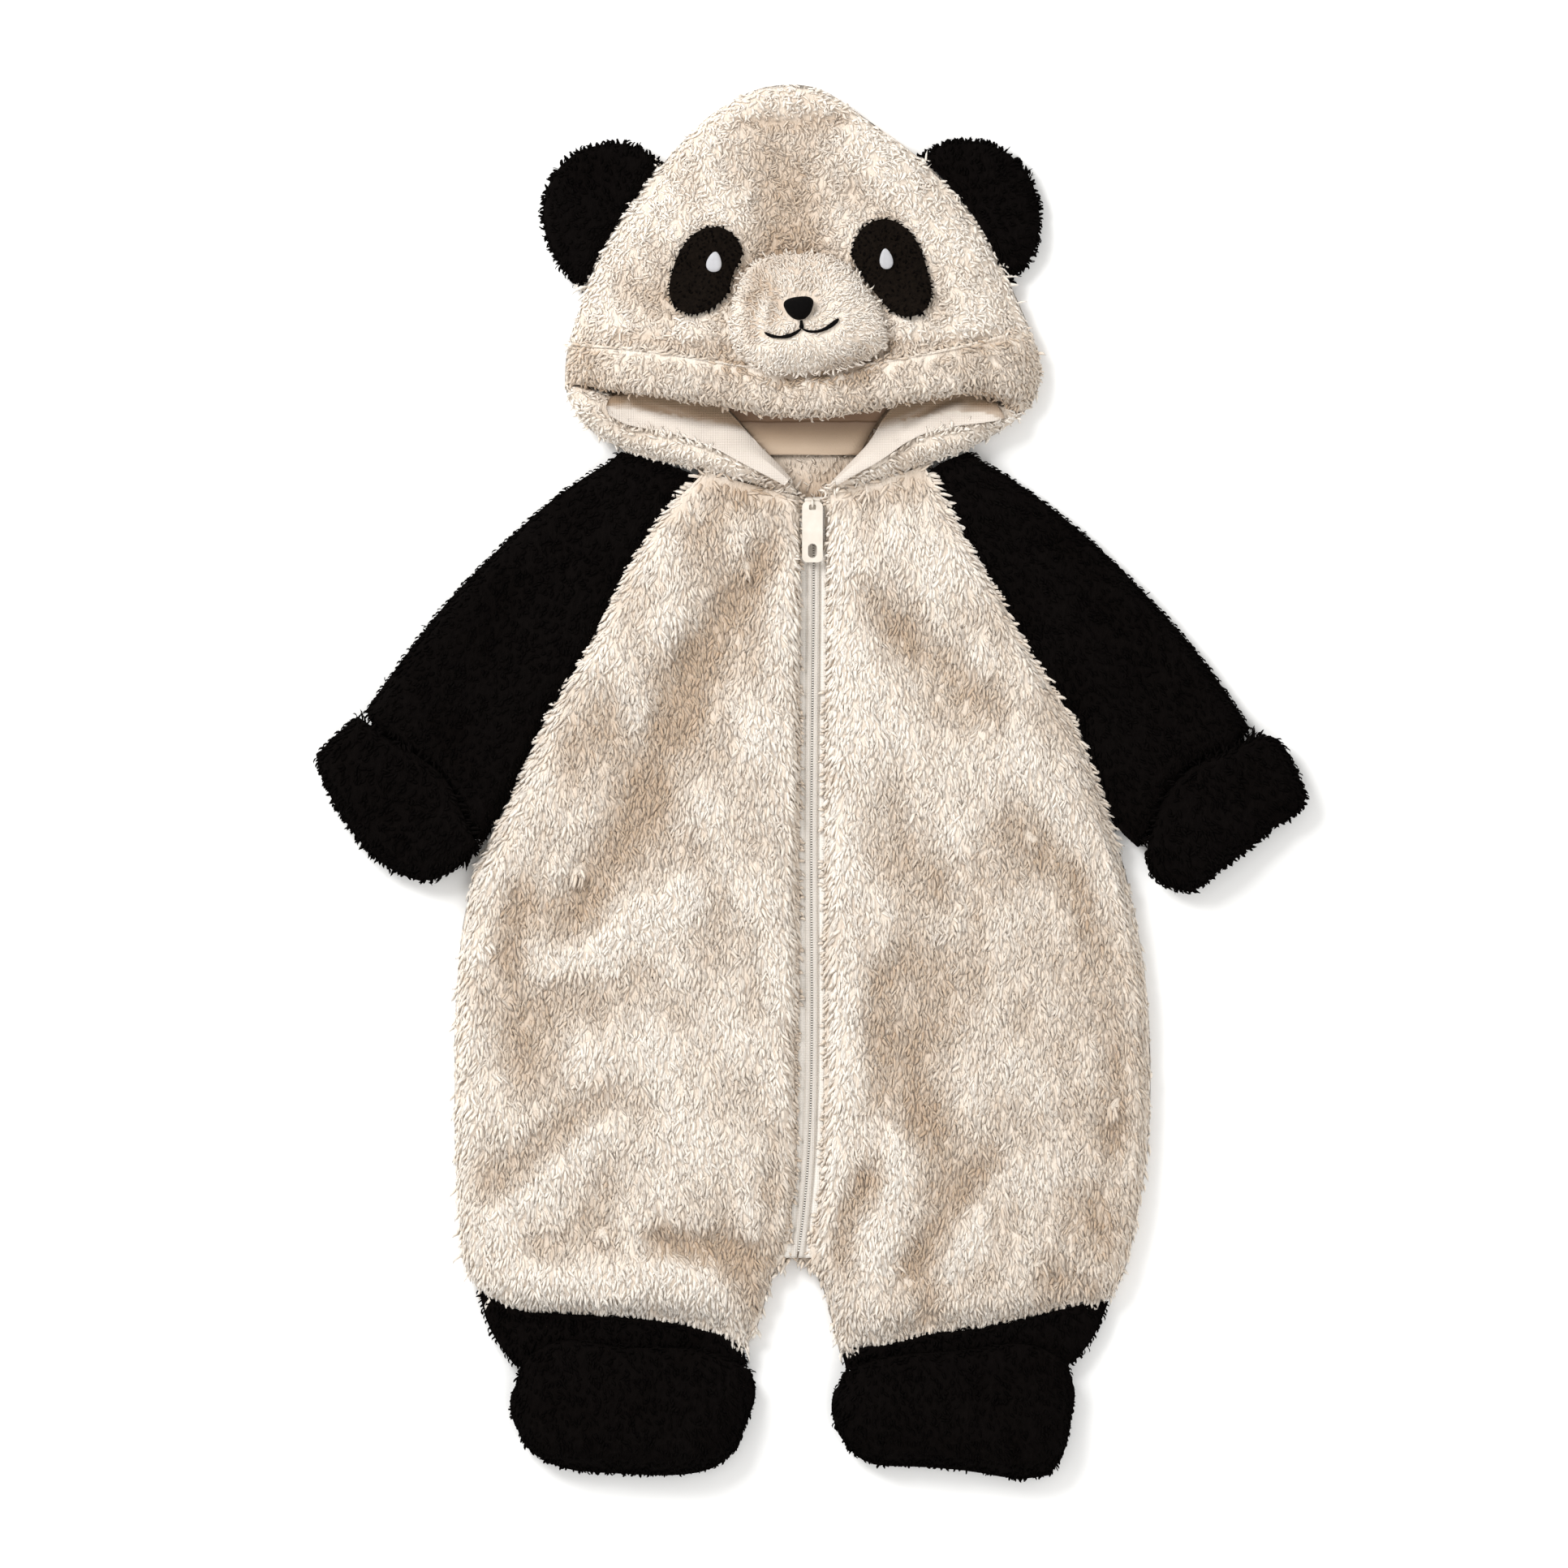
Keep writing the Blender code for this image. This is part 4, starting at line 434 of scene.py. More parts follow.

# %% [markdown]
# ## Creases
# The solids hold the garment's largest folds. The finer ones are soft troughs and ridges along
# short lines, each with its own width and depth: a bell curve across the line that fades at both
# ends. They are uneven on purpose, as cloth that was laid down by hand. A cloth simulation would
# settle into folds of its own choice. Lines that are drawn put each fold where it lies.

# %% Lines of the creases
CREASES = (  # x, y, to x, to y, width, height
    (-25, 120, -60, 62, 8, -5.0), (-58, 64, -72, 30, 10, -4.6), (-72, 34, -82, -4, 11, -3.0),
    (-82, -2, -124, -68, 13, -4.4), (-112, 40, -98, 2, 15, -2.1), (-122, 28, -128, -6, 8, -2.2),
    (-150, -58, -158, -90, 8, -4.2), (-144, -102, -148, -140, 16, -3.4),
    (-138, -98, -66, -58, 9, 2.4), (-112, -108, -82, -100, 9, -1.4),
    (-104, -160, -166, -205, 9, -2.4), (-110, -180, -164, -226, 8, 2.0),
    (-108, -212, -134, -238, 8, -2.2), (-78, -234, -24, -245, 7, -5.0),
    (-33, -250, -26, -288, 9, -4.5), (-18, -178, -22, -234, 5, -2.6),
    (-78, -138, -68, -192, 13, 1.6), (-34, -190, -34, -225, 8, 1.4), (-30, 156, -60, 130, 7, -2.6),
    (-60, 157, -18, 149, 5, -5.0), (-20, 143, -20, 111, 5, -1.8), (-55, -30, -48, -60, 10, -1.2),
    (-141, -257, -55, -257, 11, 2.2), (25, 106, 54, 68, 7, -2.2), (48, 82, 88, 50, 9, -2.2),
    (86, 52, 98, 36, 8, -1.6), (22, 149, 60, 157, 6, -3.0), (43, -12, 53, -40, 8, -2.2),
    (66, -48, 68, -62, 7, -2.0), (100, -22, 118, -36, 9, -2.0), (137, -42, 140, -72, 6, -2.4),
    (50, -84, 38, -100, 8, -2.6), (36, -100, 36, -160, 9, -2.6), (58, -96, 56, -172, 12, -3.1),
    (62, -170, 66, -205, 9, -2.4), (90, -192, 52, -248, 8, -4.0), (27, -204, 12, -242, 6, -4.0),
    (44, -184, 34, -246, 8, 2.2), (98, -203, 76, -248, 8, 1.8), (156, -116, 158, -184, 8, -2.6),
    (148, -210, 151, -238, 7, -2.8), (130, -256, 146, -262, 8, -3.0), (62, -266, 56, -280, 7, -3.4),
    (112, -140, 118, -190, 16, 1.0), (35, 70, 20, 20, 12, 1.2), (-36, 340, 18, 343, 3, -2.6),
    (-14, 324, -12, 286, 20, -3.9), (-92, 256, -74, 247, 8, -2.4), (72, 268, 92, 262, 7, -1.2),
    (-100, 229, -44, 225, 4, -2.4), (39, 225, 98, 229, 4, -2.2), (-50, 108, -62, 40, 26, -1.5),
    (-26, 262, -30, 248, 4, -4.4), (-30, 248, -29, 231, 4, -4.4), (-20, 255, -19, 238, 4.5, -3.8),
    (-6, 250, -6, 240, 15, -1.0), (6, 213, 24, 218, 3.5, -4.0), (-14, 210, 4, 210, 4, -2.6),
    (28, 222, 38, 224, 5, -2.6), (62, 12, 120, 4, 20, 1.3), (52, 132, 76, 112, 13, 1.0),
    (-14, 224, 12, 226, 7, 1.4),
)
LINING_CREASES = (  # the same for the smooth linings
    (-98, 192, -34, 180, 3.2, 1.4), (-92, 195, -34, 184, 2.0, -1.0),
    (48, 182, 75, 193, 3.2, 1.3), (48, 187, 77, 198, 2.2, -1.2), (-107, 197, -99, 199, 3.5, -1.4),
    (-86, 180, -48, 171, 2.6, 0.7), (-86, 183, -50, 174, 1.8, -0.5), (52, 172, 74, 180, 3.0, 0.7),
    (84, 196, 94, 200, 2.6, -1.0),
)


def creased(x, y, rows):
    """Height added at each place: the sum over the lines of h exp(-(d/w)^2), rounded at the ends.

    d is the distance from the line, which is bent a little by a sine wave along it.
    """
    height = np.zeros_like(x)
    for x0, y0, x1, y1, width, depth in rows:
        run = np.array([x1 - x0, y1 - y0], float)
        length = np.hypot(*run)
        along = ((x - x0) * run[0] + (y - y0) * run[1]) / length**2
        across = ((x - x0) * run[1] - (y - y0) * run[0]) / length
        past = np.maximum(np.abs(along - 0.5) - 0.5, 0) * length
        bell = np.exp(-((across + 1.2 * np.sin(along * 5 + x0)) ** 2 + past**2) / width**2)
        height += depth * bell
    return height

# %% What a crease comes to in thin cloth
STIFF = 9.0  # mm, the thickness of fleece that takes the whole of a crease


def swollen(x, y):
    """The low uneven swells between the creases: two smooth random fields, 52 and 24 mm wide."""
    return 0.9 * drift(x, y, 52, 3) + 0.6 * drift(x, y, 24, 4)


def thickness(name, places):
    """How thick a solid is at each place, from 0.6 to 30 mm."""
    top, bottom = COLUMNS[name]
    square = square_of(places)
    return np.clip(top[square] - bottom[square], 0.6, 30)


def settled(raw, thick, stiff):
    """What a crease of height raw comes to in cloth of that thickness.

    Cloth of stiff millimetres or more takes all of it, thinner cloth a share. h tanh(raw / h)
    keeps a trough from going deeper than half of the cloth, h.
    """
    taken = raw * np.clip(thick / stiff, 0, 1)
    half = 0.5 * thick
    return np.where(taken < 0, half * np.tanh(taken / half), taken)


print(len(CREASES), "creases in the pile,", len(LINING_CREASES), "in the linings")

# %% [markdown]
# ## A soft shell for each piece
# The shell is the knitted backing with the pile's dense lower part. It could be cut afresh, but the
# solid already has the sewn form, so its skin is copied, merged, smoothed by subdivision and drawn
# in a little, which leaves room for the locks. The creases are then pressed into its upper side.
# A number at each point, the shade, tells the material how much shade to paint into its colour, by
# how deep the cloth lies there.

# %% Copy, smooth and draw in
def skin_of(name, levels):
    """Points and four-cornered faces of a solid's skin after Catmull-Clark smoothing.

    Edges where the faces turn by more than 40 degrees are kept, so that rims stay where they are.
    """
    bm = bmesh.new()
    bm.from_mesh(NODES[name].data)
    bmesh.ops.remove_doubles(bm, verts=bm.verts, dist=1e-5)
    bmesh.ops.join_triangles(
        bm, faces=bm.faces, angle_face_threshold=0.9, angle_shape_threshold=0.9
    )
    sharp = bm.edges.layers.float.new("crease_edge")
    for edge in bm.edges:
        edge[sharp] = float(edge.calc_face_angle(0.0) > 0.7)
    mesh = bpy.data.meshes.new("skin")
    bm.to_mesh(mesh)
    bm.free()
    holder = bpy.data.objects.new("skin", mesh)
    bpy.context.scene.collection.objects.link(holder)
    smooth = holder.modifiers.new("smooth", "SUBSURF")
    smooth.levels = smooth.render_levels = levels
    shown = holder.evaluated_get(bpy.context.evaluated_depsgraph_get()).to_mesh()
    points = np.empty(len(shown.vertices) * 3, np.float32)
    shown.vertices.foreach_get("co", points)
    quads = np.empty(len(shown.loops), np.int32)
    shown.loops.foreach_get("vertex_index", quads)
    bpy.data.objects.remove(holder)
    return points.reshape(-1, 3) / MM, quads.reshape(-1, 4)


def drawn_in(name, points, quads, sideways, down, rows, stiff):
    """The skin moved inwards: sideways by that much, and up or down by a share of its thickness.

    The creases in rows are then pressed into its upper side.
    """
    normal = normals_of(points, quads)
    thick = thickness(name, points)
    others = [other for other in NODES if other != name]
    beside = points + normal * (3.0, 3.0, 0.0)
    free = ~inside(beside, others, 0.0)[:, None]  # an edge against another piece stays there
    moved = points.copy()
    moved[:, :2] -= normal[:, :2] * sideways * free
    moved[:, 2] -= normal[:, 2] * np.minimum(down, 0.15 * thick)
    raw = creased(moved[:, 0], moved[:, 1], rows) + swollen(moved[:, 0], moved[:, 1])
    on_top = points[:, 2] > COLUMNS[name][0][square_of(points)] - 4
    pressed = settled(raw, thick, stiff) * np.clip(normal[:, 2] * 2, 0, 1) * on_top
    moved[:, 2] += pressed
    return moved, pressed

# %% Make the shell
LININGS = ["flap_lining_left", "flap_lining_right", "back_lining"]
DULL = (6, 10)  # mm below the cloth round it at which the shade is 0 and 1
DEEPEST = 5.5  # mm, the crease at which it is 1


def shell(name, material, levels=2, sideways=1.6, down=1.2, rows=CREASES, stiff=STIFF, cut=None):
    """The soft shell of a sewn piece, standing for its solid. cut may first change its outline.

    Its shade, painted into its colour, is the largest of these: how deep it lies away from the
    rim, how deep its creases are, and for a lining how near it is to the hood's band above it, as
    the band's painted shadow.
    """
    points, quads = skin_of(name, levels)
    if cut is not None:
        points = cut(name, points)
    moved, pressed = drawn_in(name, points, quads, sideways, down, rows, stiff)
    square = square_of(moved)
    lies = SMOOTHED[square] - moved[:, 2]
    shade = (lies - DULL[0]) / (DULL[1] - DULL[0]) * (1 - rim_of(moved))
    if name in LININGS:  # a shadow with a firm edge, and then darker still
        under_band = np.clip((BESIDE_BAND[square] - 0.09) / 0.04, 0, 1) * 0.7
        under_band += np.clip((BESIDE_BAND[square] - 0.2) / 0.3, 0, 1) * 0.3
        shade = np.maximum(shade, under_band - 0.3 * creased(moved[:, 0], moved[:, 1], rows))
    else:
        shade = np.maximum(shade, -pressed / DEEPEST)
    piece = put(name + "_cloth", moved, [quads], material, shade=np.clip(shade, 0, 1))
    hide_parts(name)
    return piece, (name, moved, quads, pressed)

# %% [markdown]
# ## Locks of pile
# Fleece is combed into wavy, pointed locks about two millimetres wide. A hair system would draw
# single hairs, which the exported model can't hold. Here each lock is a small closed tapering
# body that leaves the backing, bends over along the flow of the pile and ends in a point.

# %% The body of a lock
STEP = np.array([0.0, 0.30, 0.66, 1.0])  # share of the lock's length at each ring
RISE = np.array([0.0, 0.80, 1.0, 0.80])  # share of its height
GIRTH = np.array([0.85, 1.0, 0.72])  # share of its width at each ring before the tip
UP_LOCK = np.array([0.02] * 3 + [0.45] * 3 + [0.8] * 3 + [0.98])  # each point's way up the chart
SUNK = 0.8  # mm, how deep the root sits in the backing
FLATNESS = 0.62  # a lock's thickness for each millimetre of its width
THREE_WAYS = np.radians([90, 210, 330])


def lock_bodies(root, normal, flow, length, rise, width, wave, rng):
    """Closed three-sided bodies along root + rise * normal + length * flow + a wave sideways."""
    count = len(root)
    side = np.cross(normal, flow)
    phase = rng.uniform(0, 2 * np.pi, (count, 1))
    sway = wave[:, None] * (np.sin(phase + STEP * 3.0) - np.sin(phase))
    path = root[:, None] + normal[:, None] * (rise[:, None] * RISE - SUNK)[..., None]
    path = path + flow[:, None] * (length[:, None] * STEP)[..., None]
    path = path + side[:, None] * sway[..., None]
    twist = rng.uniform(-0.5, 0.5, (count, 1, 1)) + THREE_WAYS
    half = width[:, None, None] / 2 * GIRTH[:, None]
    rings = path[:, :3, None] + (half * np.cos(twist))[..., None] * side[:, None, None]
    rings = rings + (half * FLATNESS * np.sin(twist))[..., None] * normal[:, None, None]
    return np.concatenate([rings.reshape(count, 9, 3), path[:, 3:]], axis=1)


SIDES = np.array([[r * 3 + k, r * 3 + (k + 1) % 3, r * 3 + 3 + (k + 1) % 3, r * 3 + 3 + k]
                  for r in range(2) for k in range(3)])
ENDS = np.array([[6, 7, 9], [7, 8, 9], [8, 6, 9], [2, 1, 0]])


def lock_faces(count):
    """Six four-cornered sides and four three-cornered ends for each lock."""
    start = np.arange(count)[:, None, None] * len(UP_LOCK)
    return [(start + SIDES).reshape(-1, 4), (start + ENDS).reshape(-1, 3)]

# %% [markdown]
# ## Where locks grow
# Roots are thrown all over a shell and thinned until they are evenly spread. Those under another
# piece can't be seen, so they are left out.

# %% Even roots on a shell
THROWN = 6  # roots thrown for each one that stays
CUBES = 4096  # more than there are along any side


def roots_on(points, quads, pressed, cell, seed):
    """Even random roots: many are thrown, and one stays in each small cube of space.

    With each place come its outward direction before it was creased, and how far it was moved.
    """
    rng = np.random.default_rng(seed)
    normal = normals_of(points - pressed[:, None] * (0, 0, 1), quads)
    index = np.concatenate([quads[:, [0, 1, 2]], quads[:, [0, 2, 3]]])
    pick, u, v = spread_over(points[index], THROWN / cell**2, rng)
    share = np.stack([1 - u - v, u, v], axis=1)[..., None]
    place = (points[index[pick]] * share).sum(1)
    facing = (normal[index[pick]] * share).sum(1)
    facing /= np.linalg.norm(facing, axis=1, keepdims=True)
    key = np.floor(place / (cell, cell, cell * 1.5)).astype(int) - np.floor(LOW).astype(int)
    moved = (pressed[index[pick]] * share[..., 0]).sum(1)
    first = np.unique(key @ np.array([1, CUBES, CUBES**2]), return_index=True)[1]
    return place[first], facing[first], moved[first]


def shows(name, place, normal, pressed):
    """True where nothing lies over a place, or under it where it faces down, or against it.

    Over and under mean by more than 1.5 mm, against means 4 to 6 mm away along its direction.
    """
    others = [other for other in NODES if other != name]
    flat = place - np.stack([0 * pressed, 0 * pressed, pressed], axis=1)
    square = square_of(place)
    above = np.max([COLUMNS[other][0][square] for other in others], axis=0) > flat[:, 2] + 1.5
    below = np.min([COLUMNS[other][1][square] for other in others], axis=0) < flat[:, 2] - 1.5
    held = inside(flat + normal * 4.2, NODES) | inside(flat + normal * 5.6, NODES)
    held &= normal[:, 2] < 0.7
    return ~held & ~(above & (normal[:, 2] > 0.25)) & ~(below & (normal[:, 2] < -0.25))

# %% [markdown]
# On a flap the pile comes up over the edge of the lining, as it does where two cloths are turned
# and stitched. The lining's shell ends lower than its solid, and the locks near that edge, the
# fringe, are turned up and lifted over it.

# %% Edge of the linings, and the fringe over it
def edges_of_lining(name, x):
    """At each x: where a lining's solid begins and ends along y, and how far its shell is let down.

    A flap's is let down by up to 4 mm, more the further it is from the zip and less again at its
    end. The back's is let down by 2.5 mm.
    """
    held = plan_of(name) > 0
    filled = np.flatnonzero(held.any(axis=1))
    middles = LOW[0] + PITCH * (filled + 0.5)
    first = LOW[1] + PITCH * held.argmax(axis=1)[filled]
    last = LOW[1] + PITCH * (SHAPE[1] - held[:, ::-1].argmax(axis=1)[filled])
    low, high = (
        np.interp(x, middles, blurred(np.tile(edge, (3, 1)), 2)[1]) for edge in (first, last)
    )
    out = np.abs(x)
    drop = 4.0 * np.clip((out - 48) / 45, 0, 1) * np.clip((112 - out) / 15, 0.2, 1)
    return low, high, drop if name.startswith("flap") else 2.5


def fringe_of(name, place):
    """From 0 to 1: how near a place on a flap is to the lower edge of its lining."""
    lining = name.replace("hood_flap", "flap_lining")
    if lining not in LININGS:
        return np.zeros(len(place))
    low, _, drop = edges_of_lining(lining, place[:, 0])
    below = low - drop - place[:, 1]
    on_top = place[:, 2] > 12
    return np.exp(-(((below - 0.6) / 1.8) ** 2)) * on_top

# %% Choose the roots of a piece
UNDERSIDE = 0.35  # share of the locks that grow where a piece faces down


def chosen_roots(skin, style, seed, rng):
    """The roots of a piece that grow a lock, each with what its place says.

    out, near and beyond are those of edge_of. Away from the edge, only the share inner grows.
    """
    name, points, quads, pressed = skin
    place, normal, moved = roots_on(points, quads, pressed, style["cell"], seed)
    kept = shows(name, place, normal, moved)
    kept &= (normal[:, 2] > -0.3) | (rng.random(len(place)) < UNDERSIDE)
    kept &= (edge_of(name, place)[1] > 0.1) | (rng.random(len(place)) < style["inner"])
    place = place[kept]
    out, near, beyond = edge_of(name, place)
    return SimpleNamespace(
        name=name, place=place, normal=normal[kept], moved=moved[kept],
        out=out, near=near, beyond=beyond, fringe=fringe_of(name, place),
    )

# %% [markdown]
# ## How locks lie
# On the front the pile hangs down the body, on the hood it curls, at a hem it reaches over the
# black. Each lock is turned along the flow that its piece is given, then bent outwards near an
# edge, and laid down on the cloth.

# %% Comb the locks
OVER_LINING = 1.9  # mm that the fringe is lifted, and how strongly it is turned up


def combed(root, style, flow_at, seed, rng):
    """(direction of each lock, from 0 to 1 how far it hangs over a hem).

    The flow is turned by up to the style's spread, partly in drifts 14 mm wide. Near an edge it
    is bent outwards, by splay where cloth lies beyond and by fuzz where nothing does. Of what
    then points into or out of the cloth, nine tenths are taken away, and less where it is tufted.
    """
    x, y = root.place[:, 0], root.place[:, 1]
    turn = np.radians(style["spread"]) * (
        0.6 * drift(x, y, 14, seed + 5) + 0.5 * rng.normal(size=len(x))
    )
    flow = flow_at(root.place) + root.fringe[:, None] * (0, OVER_LINING)
    cos, sin = np.cos(turn), np.sin(turn)
    flow = np.stack([flow[:, 0] * cos - flow[:, 1] * sin, flow[:, 0] * sin + flow[:, 1] * cos], 1)
    hem = root.near * root.beyond * np.clip((flow * root.out).sum(1), 0, 1)
    bend = root.near * np.where(root.beyond, style["splay"], style["fuzz"])
    outwards = np.where(root.beyond, 0.9, 0.2 + style["fuzz"])[:, None]
    across = flow + root.out * bend[:, None] + root.normal[:, :2] * outwards
    lean = np.concatenate([across, np.zeros((len(x), 1))], axis=1)
    laid = 0.9 - 0.8 * style["tuft"] * root.near * root.beyond
    lean = lean - root.normal * (lean * root.normal).sum(1, keepdims=True) * laid[:, None]
    return lean / np.maximum(np.linalg.norm(lean, axis=1, keepdims=True), 1e-6), hem

# %% [markdown]
# ## How long locks are
# A maker trims the pile where something is sewn on: under the mouth's threads, at the short seam
# on the crown, and where it would lie over the zip, the linings or the face. The lines of both
# seams are drawn, and so is the zip's middle line, which the tapes follow later.

# %% Lines on the garment
MOUTH_LINES = (  # embroidered lines under the nose: x, y along each
    ((-5.3, 238.5), (-5.3, 234.3)),
    ((-5.3, 234.3), (-10.0, 231.2), (-15.5, 229.5), (-20.8, 230.6), (-24.5, 232.2)),
    ((-5.3, 234.3), (-2.6, 233.2), (3.9, 232.7), (9.2, 235.4), (14.0, 239.2)),
)
CROWN_SEAM = (((-38.6, 336.5), (-24.0, 342.5), (-8.0, 344.5), (6.0, 343.5), (19.7, 340.5)),)
ZIP_MIDDLE = (  # x, y
    (0.4, 147.6), (0.8, 110.0), (0.2, -15.0), (-0.6, -150.0), (-2.6, -215.0), (-7.4, -244.0),
)


def distance_to(place, lines):
    """Each place's distance across the floor from the nearest of some bent lines."""
    nearest = np.full(len(place), 1e3)
    for line in lines:
        for start, end in zip(np.array(line[:-1]), np.array(line[1:])):
            run = end - start
            share = np.clip((place[:, :2] - start) @ run / (run @ run), 0, 1)
            gap = np.linalg.norm(place[:, :2] - start - share[:, None] * run, axis=1)
            nearest = np.minimum(nearest, gap)
    return nearest


def middle_of_zip(y):
    """The zip's middle line: a polynomial of the fourth degree fitted along y to its points."""
    xs, ys = np.array(ZIP_MIDDLE).T
    return np.polyval(np.polyfit(ys, xs, 4), y)

# %% Trim the locks
UNEVEN = (0.75, 1.3)  # least and most of the style's length and width
PARTED = 2.0  # mm from the crown's seam within which a lock may not end


def trimmed(root, style, lean, hem, tufted, avoid, rng):
    """Each lock's length: the style's, made longer or shorter at an edge, then trimmed.

    It is cut to 0.4 of that where its tip would lie over a piece that is kept clear, to 0.45 where
    it would reach the crown's seam, and to 0.6 mm where a seam or thread runs over its root.
    """
    place = root.place
    length = style["length"] * rng.uniform(*UNEVEN, len(place))
    length = length * (1 - 0.3 * root.near * ~root.beyond) * (1 + style["hem"] * hem) * tufted
    tip = square_of(place + lean * length[:, None])
    over = np.zeros(len(place), bool)
    for other in avoid:
        over |= COLUMNS[other][0][tip] > np.maximum(COLUMNS[root.name][0][tip], EMPTY)
    length = np.where(over & (root.fringe < 0.3), length * 0.4, length)
    parted = distance_to(place + lean * length[:, None] * 0.7, CROWN_SEAM) < PARTED
    length = np.where(parted, length * 0.45, length)
    bare = (distance_to(place, MOUTH_LINES) < 1.6) | (distance_to(place, CROWN_SEAM) < 0.8)
    return np.where(bare, 0.6, length)


def in_neck(place):
    """True on the fleece of the back that shows in the neck, which is shorter and finer."""
    x, y, z = place.T
    return (np.abs(x) < 45) & (y > 140) & (y < 180) & (z < 9)


def followed(root, body):
    """How far each point of a lock is lifted, so that the lock follows the creases of its cloth."""
    thick = thickness(root.name, root.place)[:, None]
    x, y = body[..., 0], body[..., 1]
    there = settled(creased(x, y, CREASES) + swollen(x, y), thick, STIFF)
    x, y = root.place[:, :1], root.place[:, 1:2]
    here = settled(creased(x, y, CREASES) + swollen(x, y), thick, STIFF)
    taken = np.clip(root.moved[:, None] / np.where(np.abs(here) < 0.3, 0.3, here), 0, 1)
    return taken * (there - here)

# %% [markdown]
# ## How light locks are
# Fleece is never one tone, and it drifts a little from place to place. Shade and light are painted
# into it too: dull in a trough and in a hollow, bright on a ridge, at the rim and beside the zip.
# Lights alone can't show this on locks so small, so each lock also gets its own tone.

# %% Tone of the locks
def painted_side_light(place):
    """Below 0 where shade is painted on the pile, at the body's right side and between the legs.

    Above 0 where light is painted on it: on the right cheek and between the eyes.
    """
    x, y = place[:, 0], place[:, 1]
    right = np.clip((x - 10) / 150, 0, 1) * np.clip((150 - y) / 80, 0, 1)
    legs = np.exp(-(((x + 18) / 48) ** 2) - (((y + 240) / 55) ** 2))
    cheek = np.exp(-(((x - 88) / 38) ** 2) - (((y - 218) / 28) ** 2))
    bridge = np.exp(-(((x + 10) / 24) ** 2) - (((y - 272) / 13) ** 2))
    return 0.7 * cheek + 0.8 * bridge - 1.25 * right - 0.9 * legs


def toned(root, style, hem, short, seed, rng):
    """(tone of each lock from 0 to 1, from 0 to 1 how much light is painted beside the zip).

    The sum of the style's tone, the creases' height, the rim, the hem and two drifts 34 and 12 mm
    wide, less the hollows. Of what is below 0.4 only six tenths count. The creases, rim, hem and
    hollows paint light and shade, as do the nearness of an edge, the side and the light beside the
    zip.
    """
    x, y = root.place[:, 0], root.place[:, 1]
    rim = rim_of(root.place)
    tone = style["tone"] + 0.13 * root.moved - style["deep"] * hollow(root.place) * (1 - rim)
    tone = tone + 0.05 * (short < 1)
    tone = tone + 0.06 * drift(x, y, 34, seed + 9) + 0.06 * root.near * (1 - hem)
    tone = tone + 0.05 * drift(x, y, 12, seed + 13)
    tone = tone + style["rim"] * (rim + painted_side_light(root.place))
    tone = np.where(tone < 0.4, 0.4 + 0.6 * (tone - 0.4), tone) + 0.06 * rng.normal(size=len(x))
    beside_zip = (y < 140) & (y > -240)
    zip_light = beside_zip * np.exp(-((x - middle_of_zip(y) - 5) / 12) ** 2)
    return tone + style["lit"] * hem + 0.3 * zip_light, zip_light

# %% Grow the pile of a piece
def grow(skin, style, flow_at, material, avoid=(), seed=1):
    """The pile of a piece: a lock on each root, along the direction that flow_at(place) gives."""
    rng = np.random.default_rng(seed)
    root = chosen_roots(skin, style, seed, rng)
    count = len(root.place)
    lean, hem = combed(root, style, flow_at, seed, rng)
    tufted = 1 + style["tuft"] * root.near * root.beyond * (1 - hem)
    short = np.where(in_neck(root.place), 0.45, 1.0)
    length = trimmed(root, style, lean, hem, tufted, avoid, rng) * short
    width = style["width"] * rng.uniform(*UNEVEN, count) * short
    rise = style["rise"] * rng.uniform(0.7, 1.25, count) * tufted
    wave = style["wave"] * rng.uniform(0.4, 1.3, count)
    body = lock_bodies(root.place, root.normal, lean, length, rise, width, wave, rng)
    body[..., 2] += followed(root, body) + OVER_LINING * root.fringe[:, None]
    floor = 0.2 + 0.5 * rng.random((count, 1))
    body[..., 2] = np.maximum(body[..., 2], floor)
    tone, zip_light = toned(root, style, hem, short, seed, rng)
    chart = np.empty((count, len(UP_LOCK), 2))
    chart[..., 0] = np.clip(tone, 0.02, 0.98)[:, None]
    # the painted shade at the roots is less in the neck and where light is painted beside the zip
    chart[..., 1] = 1 - (1 - UP_LOCK) * (short * (1 - 0.5 * zip_light))[:, None]
    faces = lock_faces(count)
    piece = put(root.name + "_pile", body.reshape(-1, 3), faces, material, chart.reshape(-1, 2))
    print(root.name, count, "locks")
    return piece

# %% [markdown]
# ## Styles and flow of the pile
# A maker cuts every piece so that its pile runs the same way. Here it hangs down the body and the
# hood, runs along the sleeves to the cuffs, and spreads from the middle of the ears and the muzzle.
# Each kind of pile is a short list of what sets it apart from plain plush.

